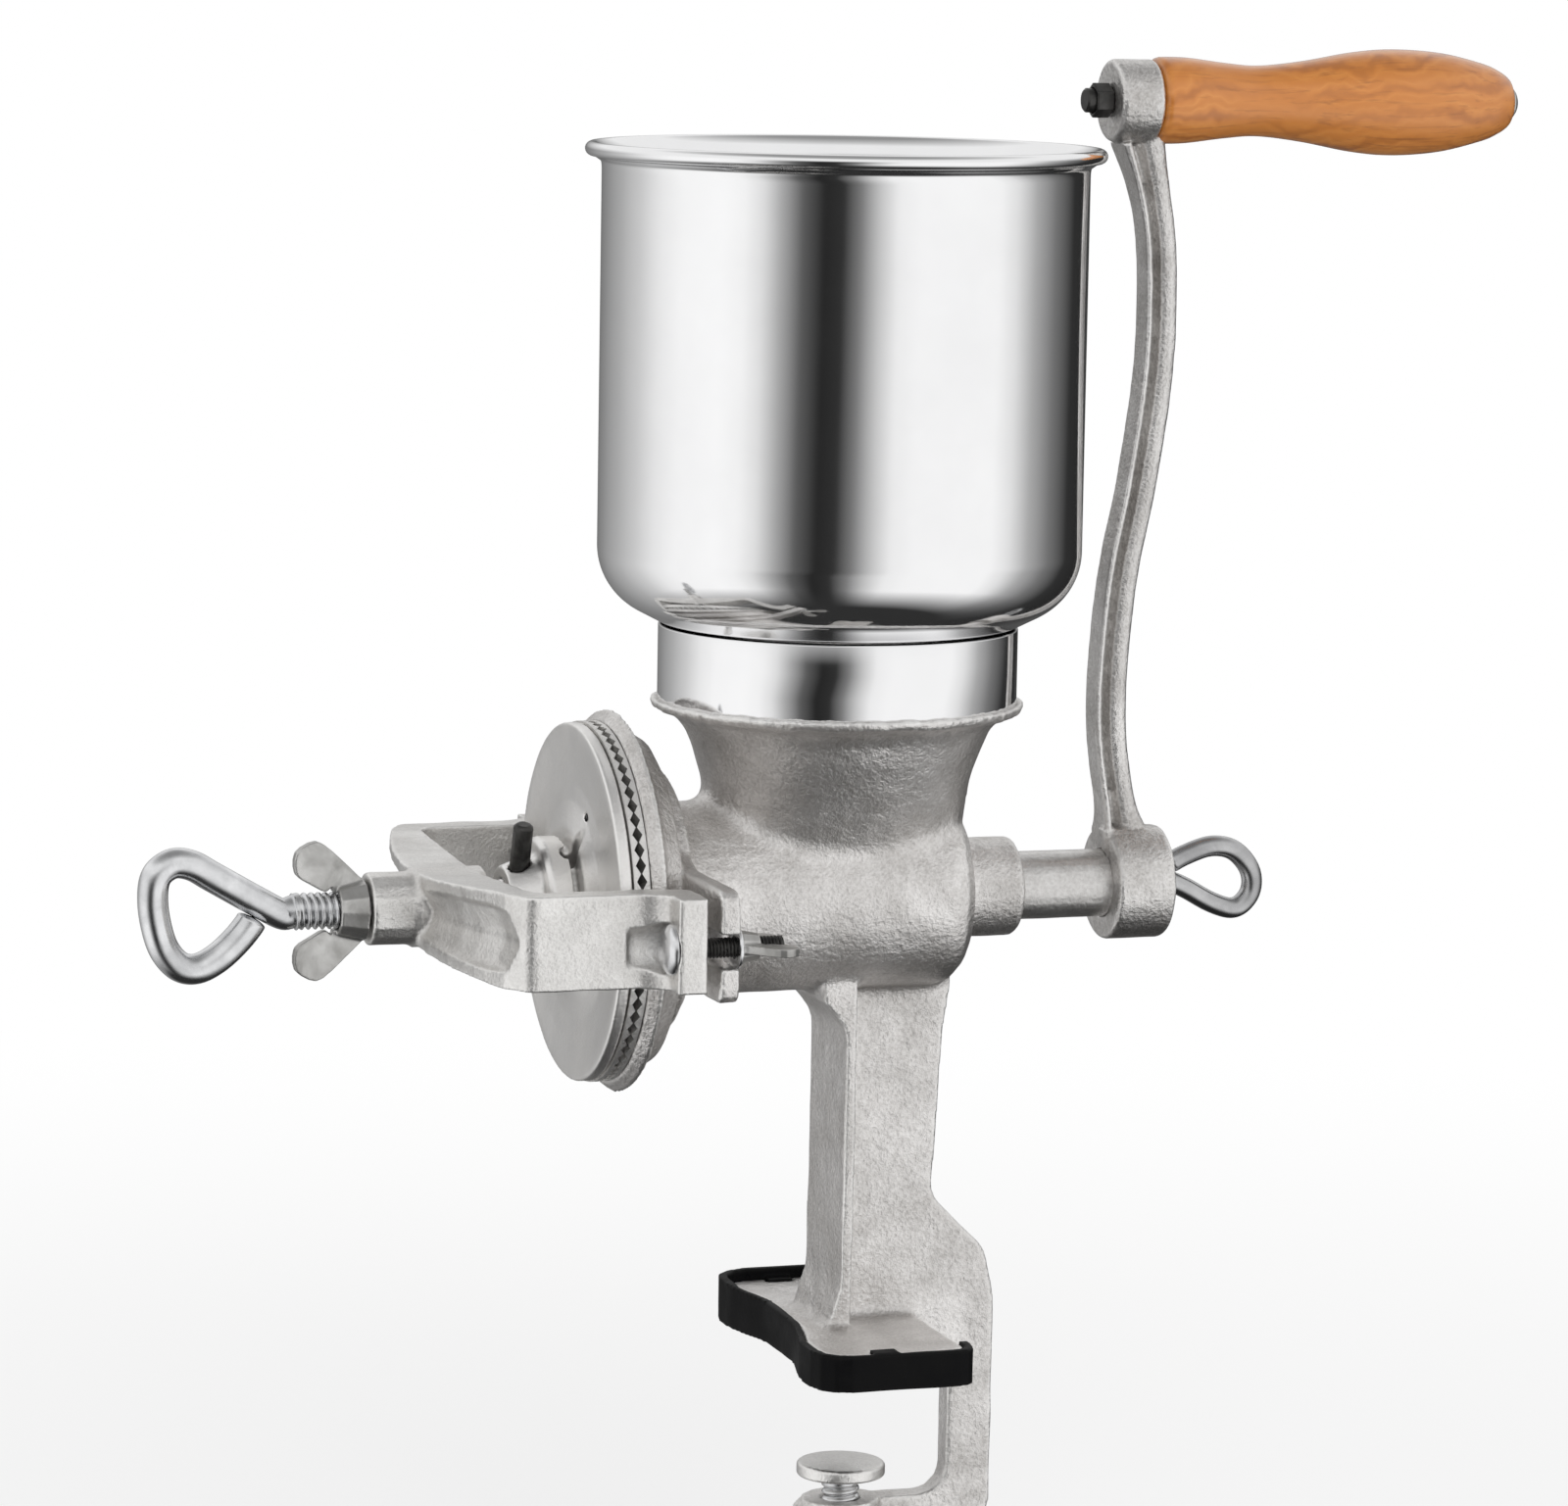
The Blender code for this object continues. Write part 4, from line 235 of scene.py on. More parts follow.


# tinned iron castings; the edge colour is for rubbed edges, partly a painted highlight, and the
# corner colour is painted shade in hollows and creases
castings = {
    "cast body": {
        "light": (0.92, 0.90, 0.885), "dark": (0.56, 0.54, 0.52), "edge": (0.93, 0.92, 0.90),
        "corner": (0.12, 0.105, 0.095), "metallic": 0.97, "rough": (0.28, 0.42),
        "grain": 1000.0, "bump": 1.0, "depth": 0.00036,
    },
    "cast crank": {
        "light": (0.90, 0.885, 0.87), "dark": (0.50, 0.48, 0.46), "edge": (0.92, 0.91, 0.895),
        "corner": (0.05, 0.045, 0.04), "metallic": 0.97, "rough": (0.24, 0.38),
        "grain": 1000.0, "bump": 1.0, "depth": 0.00030,
    },
    "cast yoke": {
        "light": (0.92, 0.91, 0.89), "dark": (0.68, 0.665, 0.645), "edge": (0.95, 0.94, 0.92),
        "corner": (0.12, 0.11, 0.10), "metallic": 0.97, "rough": (0.28, 0.40),
        "grain": 1100.0, "bump": 0.8, "depth": 0.00026,
    },
    "turned rotor": {
        "light": (0.92, 0.91, 0.895), "dark": (0.87, 0.855, 0.835), "edge": (0.95, 0.94, 0.92),
        "corner": (0.10, 0.095, 0.088), "metallic": 0.97, "rough": (0.32, 0.42),
        "grain": 1100.0, "bump": 0.5, "depth": 0.0002,
    },
    "turned shaft": {
        "light": (0.84, 0.83, 0.815), "dark": (0.56, 0.545, 0.53), "edge": (0.90, 0.89, 0.875),
        "corner": (0.08, 0.075, 0.07), "metallic": 0.96, "rough": (0.28, 0.40),
        "grain": 900.0, "bump": 0.6, "depth": 0.00022,
    },
    "burr iron": {
        "light": (0.50, 0.485, 0.46), "dark": (0.12, 0.11, 0.10), "edge": (0.85, 0.84, 0.82),
        "corner": (0.02, 0.018, 0.016), "metallic": 0.94, "rough": (0.36, 0.52),
        "grain": 1200.0, "bump": 0.8, "depth": 0.00025,
    },
}
# what all castings share: where specks and tone set in, how much is speckled, and how wide the
# rubbed edges with painted highlight and the painted corner shade reach
castSkin = {
    "drift": 38.0, "wearAndPaintedLight": 0.06, "specks": (0.36, 0.66), "tone": (0.38, 0.64), "speckled": 0.45,
}
# bright zinc on the bolts, nuts and bent eyes, and turned or blackened steel
steelKeys = ("light", "dark", "rough", "metallic")
steels = {
    "zinc steel": ((0.84, 0.845, 0.855), (0.62, 0.625, 0.635), (0.16, 0.30), 1.0),
    "dull zinc": ((0.62, 0.615, 0.60), (0.38, 0.375, 0.36), (0.26, 0.42), 0.92),
    "eye steel": ((0.56, 0.56, 0.565), (0.40, 0.40, 0.405), (0.18, 0.28), 1.0),
    "turned steel": ((0.62, 0.615, 0.60), (0.46, 0.455, 0.44), (0.28, 0.42), 0.9),
    "black steel": ((0.09, 0.088, 0.085), (0.02, 0.02, 0.019), (0.26, 0.45), 0.85),
}
# what all steels share; their corners get painted shade, the dark tone scaled by the shade factor
steelSkin = {
    "grain": 700.0, "drift": 90.0, "wearAndPaintedLight": 0.10, "tone": (0.35, 0.65), "shade": 0.35,
    "bump": 0.15, "depth": 0.0001,
}


def makeMetal(name, look):
    made, tree, shader = newMaterial(name)
    grain = placeGroup(tree, castGrain, Grain=look["grain"], Drift=look["drift"])
    wearAndPaintedLight = placeGroup(tree, edgeWearAndPaintedLight, Width=look["wearAndPaintedLight"])
    tone = between(tree, grain["Tone"], 0.0, 1.0, *look["tone"])
    colour = mix(tree, tone, look["dark"], look["light"])
    if "specks" in look:
        specks = between(tree, grain["Specks"], 0.0, 1.0, *look["specks"])
        speckled = mix(tree, specks, look["dark"], look["light"])
        colour = mix(tree, look["speckled"], colour, speckled)
    # painted shade darkens the corners and hollows; rubbed edges turn lighter, partly a painted
    # highlight
    corner = look.get("corner") or tuple(value * look["shade"] for value in look["dark"])
    colour = mix(tree, wearAndPaintedLight["Corner"], colour, corner)
    if "edge" in look:
        colour = mix(tree, wearAndPaintedLight["Edge"], colour, look["edge"])
    smooth, rough = look["rough"]
    feed(tree, shader, {
        "Base Color": colour,
        "Roughness": between(tree, grain["Tone"], rough, smooth),
        "Metallic": look["metallic"],
        "Normal": bump(tree, grain["Height"], look["bump"], look["depth"]),
    })
    return made


# mirror-polished sheet of the hopper, with a faint haze and a slight ripple
polish = {
    "colour": (0.95, 0.95, 0.955), "dull": (0.90, 0.90, 0.905), "rough": (0.05, 0.11),
    "lines": 260.0, "stretch": (0.25, 0.25, 4.0), "ripple": 0.04, "depth": 0.00002,
}


def makePolished():
    made, tree, shader = newMaterial("polished sheet")
    lines = placeGroup(tree, toolLines, Scale=polish["lines"], Stretch=polish["stretch"])
    haze = lines["Haze"]
    feed(tree, shader, {
        "Base Color": mix(tree, between(tree, haze, 0.0, 1.0), polish["colour"], polish["dull"]),
        "Roughness": between(tree, haze, *polish["rough"]),
        "Metallic": 1.0,
        "Normal": bump(tree, lines["Lines"], polish["ripple"], polish["depth"]),
    })
    return made


# varnished grip: wavy growth lines along the turning, darker pores
gripWood = {
    "pale": (0.62, 0.25, 0.050), "middle": (0.51, 0.178, 0.028), "dark": (0.30, 0.09, 0.012),
    "pore": (0.20, 0.06, 0.012), "rough": (0.34, 0.46), "coat": 0.9, "coatRough": 0.10,
    "warp": (0.035, 0.035, 0.035), "growthStretch": (0.22, 1.0, 1.0),
    "poreStretch": (30.0, 620.0, 620.0), "bump": 0.25, "depth": 0.0001,
}


def makeWood():
    w = gripWood
    made, tree, shader = newMaterial("grip wood")
    place = put(tree, "ShaderNodeTexCoord")["Object"]
    warp = noise(tree, place, 26.0, 4.0, 0.55)["Color"]
    warped = vectors(tree, "MULTIPLY_ADD", warp, w["warp"], place)[0]
    growth = put(tree, "ShaderNodeTexWave", {
        "Vector": vectors(tree, "MULTIPLY", warped, w["growthStretch"])[0], "Scale": 38.0,
        "Distortion": 3.2, "Detail": 2.0, "Detail Scale": 1.1,
    }, wave_type="BANDS", bands_direction="Z")["Fac"]
    stretched = vectors(tree, "MULTIPLY", place, w["poreStretch"])[0]
    pores = noise(tree, stretched, 1.0, 3.0, 0.6)["Fac"]
    clouds = between(tree, noise(tree, place, 34.0, 3.0)["Fac"], 0.25, 0.85, 0.35, 0.65)
    stops = ((0.0, w["dark"]), (0.25, w["middle"]), (0.7, w["pale"]), (1.0, w["middle"]))
    patchy = mix(tree, clouds, ramp(tree, growth, stops), w["middle"])
    feed(tree, shader, {
        "Base Color": mix(tree, between(tree, pores, 0.0, 0.5, 0.54, 0.74), patchy, w["pore"]),
        "Roughness": between(tree, pores, *w["rough"]),
        "Coat Weight": w["coat"],
        "Coat Roughness": w["coatRough"],
        "Normal": bump(tree, pores, w["bump"], w["depth"]),
    })
    return made


# black rubber of the boot, matte with a fine moulded grain
rubber = {
    "colour": (0.0025, 0.0025, 0.003), "worn": (0.008, 0.008, 0.0077), "rough": (0.38, 0.6),
    "grain": 1300.0, "drift": 60.0, "wearAndPaintedLight": 0.08, "shine": 0.07, "bump": 0.35, "depth": 0.00015,
}


def makeRubber():
    made, tree, shader = newMaterial("black rubber")
    grain = placeGroup(tree, castGrain, Grain=rubber["grain"], Drift=rubber["drift"])
    wearAndPaintedLight = placeGroup(tree, edgeWearAndPaintedLight, Width=rubber["wearAndPaintedLight"])
    # rubbed edges turn lighter, partly a painted highlight
    edged = mix(tree, wearAndPaintedLight["Edge"], rubber["colour"], rubber["worn"])
    feed(tree, shader, {
        "Base Color": mix(tree, between(tree, grain["Tone"], 0.0, 0.5), edged, rubber["worn"]),
        "Roughness": between(tree, grain["Tone"], *rubber["rough"]),
        "Specular IOR Level": rubber["shine"],
        "Normal": bump(tree, grain["Height"], rubber["bump"], rubber["depth"]),
    })
    return made


materials = {name: makeMetal(name, {**castSkin, **look}) for name, look in castings.items()}
for name, row in steels.items():
    materials[name] = makeMetal(name, dict(zip(steelKeys, row), **steelSkin))
materials["polished sheet"] = makePolished()
materials["grip wood"] = makeWood()
materials["black rubber"] = makeRubber()
print("materials made:", len(materials))


# mesh helpers
def addPiece(name, mesh, body, material, nodes, sharp=None):
    piece = bpy.data.objects.new(name, mesh)
    scene.collection.objects.link(piece)
    mesh.materials.clear()
    mesh.materials.append(materials[material])
    mesh.polygons.foreach_set("use_smooth", [True] * len(mesh.polygons))
    if sharp:
        mesh.set_sharp_from_angle(angle=math.radians(sharp))
    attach(piece, body)
    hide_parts(*nodes)
    return piece


def secondFinish(piece, material, chosen):
    piece.data.materials.append(materials[material])
    for face in piece.data.polygons:
        if chosen(face.center):
            face.material_index = 1


# a bmesh of a mesh, with the corners that its faces share made one
def welded(mesh, distance=0.000001):
    builder = bmesh.new()
    builder.from_mesh(mesh)
    bmesh.ops.remove_doubles(builder, verts=builder.verts, dist=distance)
    return builder


def newMesh(name, builder):
    mesh = bpy.data.meshes.new(name)
    builder.to_mesh(mesh)
    builder.free()
    return mesh


def meshFrom(name, points, faces):
    mesh = bpy.data.meshes.new(name)
    mesh.from_pydata([tuple(point) for point in points], [], faces)
    builder = welded(mesh, 0.0000005)
    bmesh.ops.recalc_face_normals(builder, faces=builder.faces)
    builder.to_mesh(mesh)
    builder.free()
    return mesh


def joined(name, meshes):
    builder = bmesh.new()
    for mesh in meshes:
        builder.from_mesh(mesh)
    return newMesh(name, builder)


def getPoints(mesh):
    places = np.empty(len(mesh.vertices) * 3)
    mesh.vertices.foreach_get("co", places)
    return places.reshape(-1, 3)


def setPoints(mesh, places):
    mesh.vertices.foreach_set("co", places.ravel())
    mesh.update()


# faces of a tube from rows of points, with its two ends closed
def tubeFaces(rows, count, backward=False):
    faces = []
    for i in range(rows - 1):
        for j in range(count):
            k = (j + 1) % count
            faces.append((i * count + j, i * count + k, (i + 1) * count + k, (i + 1) * count + j))
    first, last = tuple(range(count)), tuple(range((rows - 1) * count, rows * count))
    return faces + ([first, last[::-1]] if backward else [first[::-1], last])


# outline points from (x, y, radius) corners
def roundCorners(corners, steps=4, closed=True):
    points = []
    for i, (x, y, radius) in enumerate(corners):
        here = Vector((x, y))
        atEnd = not closed and i in (0, len(corners) - 1)
        if radius == 0 or atEnd:
            points.append((x, y))
            continue
        before = Vector(corners[i - 1][:2]) - here
        after = Vector(corners[(i + 1) % len(corners)][:2]) - here
        half = before.angle(after) / 2
        # an arc takes at most half of each side
        reach = min(radius / math.tan(half), 0.49 * before.length, 0.49 * after.length)
        radius = reach * math.tan(half)
        start = here + before.normalized() * reach
        end = here + after.normalized() * reach
        middle = (before.normalized() + after.normalized()).normalized()
        centre = here + middle * radius / math.sin(half)
        for j in range(steps + 1):
            spoke = (start - centre).slerp(end - centre, j / steps).normalized() * radius
            points.append(tuple(centre + spoke))
    return points


# (along, radius) points turned about a line through centre; a ring's profile is closed
def turned(name, profile, centre, axis, sides=96, ring=False):
    points, faces, rows = [], [], []
    for along, radius in profile:
        row = []
        for i in range(1 if radius == 0 else sides):
            turn = 2 * math.pi * i / sides
            a, b = radius * math.cos(turn), radius * math.sin(turn)
            spot = (along, a, b) if axis == "X" else (a, b, along)
            row.append(len(points))
            points.append(tuple(c + s for c, s in zip(centre, spot)))
        rows.append(row)
    pairs = list(zip(rows, rows[1:])) + ([(rows[-1], rows[0])] if ring else [])
    for first, second in pairs:
        for i in range(sides):
            j = (i + 1) % sides
            corners = [first[i % len(first)], first[j % len(first)]]
            corners += [second[j % len(second)], second[i % len(second)]]
            corners = list(dict.fromkeys(corners))
            if len(corners) > 2:
                faces.append(corners)
    return meshFrom(name, points, faces)


# evenly spaced places along a smooth curve through the points
def smoothLine(points, spacing, rounds=2, fineness=24):
    given = [np.array(point, float) for point in points]
    ends = [2 * given[0] - given[1]] + given + [2 * given[-1] - given[-2]]
    dense = []
    for a, b, c, d in zip(ends, ends[1:], ends[2:], ends[3:]):
        for step in np.linspace(0, 1, fineness, endpoint=False):
            dense.append(0.5 * (2 * b + (c - a) * step + (2 * a - 5 * b + 4 * c - d) * step**2
                                + (3 * b - a - 3 * c + d) * step**3))
    dense = np.array(dense + [given[-1]])
    for _ in range(rounds * fineness):
        dense[1:-1] += 0.5 * ((dense[:-2] + dense[2:]) / 2 - dense[1:-1])
    length = np.concatenate([[0], np.cumsum(np.linalg.norm(np.diff(dense, axis=0), axis=1))])
    places = np.linspace(0, length[-1], max(2, round(length[-1] / spacing)))
    return np.stack([np.interp(places, length, dense[:, i]) for i in range(3)], axis=1), places


def directions(line):
    ahead = np.gradient(line, axis=0)
    return ahead / np.linalg.norm(ahead, axis=1)[:, None]


# a rod bent in the plane across Y; radiusAt gives its radius by length and turn
def swept(name, points, radiusAt, spacing, sides):
    line, places = smoothLine(points, spacing, 1)
    aside = np.array((0, 1, 0), float)
    turns = np.arange(sides) * 2 * math.pi / sides
    vertices = []
    for centre, direction, place in zip(line, directions(line), places):
        upward = np.cross(direction, aside)
        for turn in turns:
            radius = radiusAt(place, turn, places[-1])
            vertices.append(centre + radius * (math.cos(turn) * aside + math.sin(turn) * upward))
    return meshFrom(name, vertices, tubeFaces(len(line), sides, backward=True))


# radius of a rod with a screw thread between two lengths and rounded ends
def threaded(radius, depth, pitch, start, end, roundEnd=0.0, plain=None):
    plain = plain or radius

    def radiusAt(place, turn, total):
        fade = min(1.0, max(0.0, (place - start) / pitch), max(0.0, (end - place) / pitch))
        wave = 0.5 + 0.5 * math.cos(2 * math.pi * place / pitch - turn)
        groove = depth * (1 - wave**0.75)
        size = radius - groove * fade if start <= place <= end else plain
        if roundEnd:
            left = min(place, total - place)
            if left < roundEnd:
                size *= math.sqrt(max(0.0, 1 - (1 - left / roundEnd) ** 2) + 0.0004)
        return size

    return radiusAt


# radius of a screw whose thread runs out into a bent rod with a rounded end
def screwRadius(screw, start, end, tipLength=0.0):
    radius, depth, rod = screw["radius"], screw["threadDepth"], screw["rod"]
    thread = threaded(radius, depth, screw["pitch"], start, end, 0, rod)

    def radiusAt(place, turn, total):
        if place < tipLength:
            return screw["tip"]
        size = thread(place, turn, total)
        if end < place < end + screw["runOut"]:
            share = (place - end) / screw["runOut"]
            size = (radius - depth * 0.5) * (1 - share) + rod * share
        left = total - place
        if left < screw["roundEnd"]:
            size *= math.sqrt(max(0.0, 1 - (1 - left / screw["roundEnd"]) ** 2) + 0.01)
        return size

    return radiusAt


# a fine even mesh of a CAD node, or of another closed mesh
def voxelCopy(nodeName, voxel, source=None):
    mesh = newMesh(nodeName + " work", welded(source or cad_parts[nodeName].data))
    work = bpy.data.objects.new(nodeName + " work", mesh)
    scene.collection.objects.link(work)
    modifier = work.modifiers.new("voxels", "REMESH")
    modifier.mode = "VOXEL"
    modifier.voxel_size = voxel
    graph = bpy.context.evaluated_depsgraph_get()
    fine = bpy.data.meshes.new_from_object(work.evaluated_get(graph))
    bpy.data.objects.remove(work, do_unlink=True)
    bare = bpy.data.meshes.new(nodeName + " cast")
    faces = [tuple(face.vertices) for face in fine.polygons]
    bare.from_pydata(getPoints(fine).tolist(), [], faces)
    bpy.data.meshes.remove(fine)
    return bare


# a slow random swell, between about -1 and 1
def waves(places, length, seed, count=14):
    chance = random.Random(seed)
    swell = np.zeros(len(places))
    for _ in range(count):
        direction = Vector([chance.gauss(0, 1) for _ in range(3)]).normalized()
        stretch = length * chance.uniform(0.7, 1.6)
        phase = chance.uniform(0, 6.28)
        swell += np.sin(places @ np.array(direction) * 2 * math.pi / stretch + phase)
    return swell / math.sqrt(count)


# smoothing in and out again, and how fast the inner corners fill
softening = {"inward": 0.52, "outward": 0.545, "fill": 0.5, "fillReach": 0.03, "refresh": 6}


# takes the steps out of a voxel mesh, fills inner corners, rounds turned faces, adds unevenness
def soften(mesh, look, seed, rounding, hollows, rough):
    places = getPoints(mesh)
    count = len(places)
    edges = np.empty(len(mesh.edges) * 2, dtype=np.int64)
    mesh.edges.foreach_get("vertices", edges)
    a, b = edges.reshape(-1, 2).T

    def countNeighbours(first, second, size):
        return np.bincount(first, minlength=size) + np.bincount(second, minlength=size)

    def addNeighbours(values, first, second, size):
        total = np.empty((size, 3))
        for axis in range(3):
            total[:, axis] = np.bincount(first, weights=values[second, axis], minlength=size)
            total[:, axis] += np.bincount(second, weights=values[first, axis], minlength=size)
        return total

    degree = np.maximum(1, countNeighbours(a, b, count))[:, None]

    def pull():
        return addNeighbours(places, a, b, count) / degree - places

    def normals():
        setPoints(mesh, places)
        found = np.empty(count * 3)
        mesh.vertex_normals.foreach_get("vector", found)
        return found.reshape(-1, 3)

    def fill(chosen, rounds):
        local = np.cumsum(chosen) - 1
        inside = chosen[a] & chosen[b]
        first, second = local[a[inside]], local[b[inside]]
        size = int(chosen.sum())
        neighbours = countNeighbours(first, second, size)
        free = (neighbours == degree[chosen, 0])[:, None]
        neighbours = np.maximum(1, neighbours)[:, None]
        spots = places[chosen]
        reach = look["voxel"] * softening["fillReach"]
        for turn in range(rounds):
            if turn % softening["refresh"] == 0:
                places[chosen] = spots
                facing = normals()[chosen]
            step = (addNeighbours(spots, first, second, size) / neighbours - spots) * free
            outward = np.clip((step * facing).sum(axis=1) / reach, 0, 1)[:, None]
            spots += softening["fill"] * outward * step
        places[chosen] = spots

    for _ in range(look["passes"]):
        places += softening["inward"] * pull()
        places -= softening["outward"] * pull()
    if look["fillets"]:
        fill(np.ones(count, dtype=bool), look["fillets"])
    for where, rounds in hollows:
        fill(where(places), rounds)
    for region in rounding:
        region(places)
    if look["swell"]:
        places += normals() * (waves(places, look["swellLength"], seed) * look["swell"])[:, None]
    for where, size, length in rough:
        places += normals() * (waves(places, length, seed + 1, 30) * size * where(places))[:, None]
    setPoints(mesh, places)


# pushes the flats of a many-sided turned face out to its true circle or oval
def rounder(axis, sides, where, centre=(0.0, 0.0), oval=None):
    def apply(places):
        chosen = where(places)
        across = places[chosen]
        first, second = (1, 2) if axis == "X" else (0, 1)
        u, v = across[:, first] - centre[0], across[:, second] - centre[1]
        wide = high = np.ones(len(u))
        if oval:
            heights, wides, highs = oval
            wide = np.interp(across[:, 2], heights, wides)
            high = np.interp(across[:, 2], heights, highs)
        wedge = 2 * math.pi / sides
        off = np.mod(np.arctan2(v / high, u / wide), wedge) - wedge / 2
        grow = np.cos(off) / math.cos(wedge / 2)
        places[chosen, first] = centre[0] + u * grow
        places[chosen, second] = centre[1] + v * grow
    return apply


def shaftRadius(places, height=shaftZ):
    return np.hypot(places[:, 1], places[:, 2] - height)


# picks points by their distance from the shaft, or from a line above it, and along it
def aroundShaft(inner, outer=1.0, left=-1.0, right=1.0, height=shaftZ):
    def where(p):
        radius = shaftRadius(p, height)
        return (radius > inner) & (radius < outer) & (p[:, 0] > left) & (p[:, 0] < right)
    return where


def castPiece(node, body, material, look, seed=11, rounding=(), hollows=(), rough=(),
              source=None):
    mesh = voxelCopy(node, look["voxel"], source)
    soften(mesh, look, seed, rounding, hollows, rough)
    addPiece(node + "_cast", mesh, body, material, [node])
    print("cast:", node, len(mesh.vertices), "points")


# cast body: barrel, throat, flange, ears, leg and clamp frame in one
bodyCasting = {
    "voxel": 0.0008, "passes": 8, "fillets": 45, "swell": 0.00009, "swellLength": 0.013,
    "sides": 32,
    # turned faces: from which radius to which, and from where to where along the shaft
    "flange": (0.030, 0.0606, -1.0, -0.0515),
    "barrel": (0.0285, 0.0308, -0.0640, 0.0392),
    "bearing": (0.0125, 0.0163, 0.0405),
    "barrelTop": 0.010, "earInner": 0.030, "earHeight": 0.017, "earLeft": -0.0640,
    # the throat's oval, by height above the shaft
    "throatFrom": 0.031, "throatSkin": 1.12,
    "throatHeights": (0.006, 0.016, 0.026, 0.036, 0.046, 0.052, 0.0558, 0.061),
    "throatWides": (0.0400, 0.0408, 0.0412, 0.0420, 0.0450, 0.0475, 0.0505, 0.0580),
    "throatDepths": (0.0210, 0.0258, 0.0320, 0.0385, 0.0445, 0.0475, 0.0505, 0.0580),
    # the wide hollow where the throat meets the barrel
    "root": (0.0285, 1.0, -0.056, 0.050), "rootHeights": (-0.006, 0.044), "rootRounds": 260,
    # the lip's rough casting
    "lip": 0.0548, "lipFade": 0.0012, "lipReach": 0.0606, "lipRough": 0.00014, "lipWave": 0.0045,
}


def makeBody():
    look = bodyCasting
    heights = [shaftZ + height for height in look["throatHeights"]]
    shaftCentre = (0.0, shaftZ)

    def onFlange(p):
        atSide = np.abs(p[:, 1]) > look["earInner"]
        level = np.abs(p[:, 2] - shaftZ) < look["earHeight"]
        onEar = atSide & level & (p[:, 0] > look["earLeft"])
        return aroundShaft(*look["flange"])(p) & ~onEar

    def onBarrel(p):
        return aroundShaft(*look["barrel"])(p) & (p[:, 2] < shaftZ + look["barrelTop"])

    def onThroat(p):
        wide = np.interp(p[:, 2], heights, look["throatWides"])
        deep = np.interp(p[:, 2], heights, look["throatDepths"])
        within = (p[:, 0] / wide) ** 2 + (p[:, 1] / deep) ** 2 < look["throatSkin"]
        return within & (p[:, 2] > shaftZ + look["throatFrom"])

    def atRoot(p):
        low, high = look["rootHeights"]
        height = p[:, 2] - shaftZ
        return aroundShaft(*look["root"])(p) & (height > low) & (height < high)

    def onLip(p):
        raised = np.clip((p[:, 2] - shaftZ - look["lip"]) / look["lipFade"], 0, 1)
        return raised * (np.hypot(p[:, 0], p[:, 1]) < look["lipReach"])

    rounding = [rounder("X", look["sides"], where, shaftCentre)
                for where in (onFlange, onBarrel, aroundShaft(*look["bearing"]))]
    oval = (heights, look["throatWides"], look["throatDepths"])
    rounding.append(rounder("Z", look["sides"], onThroat, oval=oval))
    hollows = [(atRoot, look["rootRounds"])]
    rough = [(onLip, look["lipRough"], look["lipWave"])]
    castPiece("body_casting", "frame", "cast body", look, 3, rounding, hollows, rough)


makeBody()

# yoke and crank arm
yokeCasting = {"voxel": 0.0006, "passes": 16, "fillets": 20, "swell": 0.00008, "swellLength": 0.011}
crankCasting = {
    "voxel": 0.0005, "passes": 6, "fillets": 0, "swell": 0.00004, "swellLength": 0.012,
    "hub": (0.0155, 0.0183), "hubSides": 28, "boss": (0.0110, 0.0131), "bossSides": 16,
    "hubTop": 0.0175, "bossBottom": 0.3797, "grip": 0.3922,
    "hubFlare": 0.012, "bossFlare": 0.024, "flare": 0.34,
    "rootTop": 0.030, "rootBottom": 0.366, "rootRounds": 80,
    # places along the shaft and heights above it of the arm's middle
    "middle": (
        (0.0962, 0.0135), (0.0903, 0.0486), (0.0913, 0.0813), (0.0941, 0.1040), (0.0983, 0.1245),
        (0.1036, 0.1633), (0.1036, 0.1983), (0.1006, 0.2180), (0.0962, 0.2350),
    ),
    # half of its cross section, flange on the left and stem on the right
    "section": (
        (-0.0056, 0.0042), (-0.0053, 0.0050), (-0.0046, 0.0053), (-0.0039, 0.0050),
        (-0.0036, 0.0042), (-0.0035, 0.0012), (-0.0028, 0.0002), (-0.0014, 0.0002),
        (-0.0008, 0.0016), (-0.0003, 0.0032), (0.0010, 0.0039), (0.0030, 0.0041),
        (0.0044, 0.0037), (0.0052, 0.0028), (0.0055, 0.0014),
    ),
}


# the hub and boss of the solid, joined by an arm with its flange toward the hopper
def crankMesh():
    look = crankCasting
    hubTop = shaftZ + look["hubTop"]
    line, _ = smoothLine([(x, 0, shaftZ + z) for x, z in look["middle"]], 0.0008)
    outline = [(x, -y) for x, y in look["section"]] + [(x, y) for x, y in look["section"][::-1]]
    points = []
    for centre, direction in zip(line, directions(line)):
        right = np.cross((0, 1, 0), direction)
        toBoss = np.clip(1 - (look["bossBottom"] - centre[2]) / look["bossFlare"], 0, 1) ** 2
        toHub = np.clip(1 - (centre[2] - shaftZ - look["hubTop"]) / look["hubFlare"], 0, 1) ** 2
        grow = 1 + look["flare"] * max(toBoss, toHub)
        points += [centre + grow * x * right + np.array((0, grow * y, 0)) for x, y in outline]
    parts = [meshFrom("crank bar", points, tubeFaces(len(line), len(outline)))]
    for height, up in ((hubTop, 1), (look["bossBottom"], -1)):
        builder = welded(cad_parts["crank_arm"].data)
        whole = builder.verts[:] + builder.edges[:] + builder.faces[:]
        cut = bmesh.ops.bisect_plane(builder, geom=whole, plane_co=(0, 0, height),
                                     plane_no=(0, 0, up), clear_outer=True)
        rims = [item for item in cut["geom_cut"] if isinstance(item, bmesh.types.BMEdge)]
        bmesh.ops.triangle_fill(builder, edges=rims, use_beauty=True)
        bmesh.ops.recalc_face_normals(builder, faces=builder.faces)
        parts.append(newMesh("crank end", builder))
    return joined("crank whole", parts)


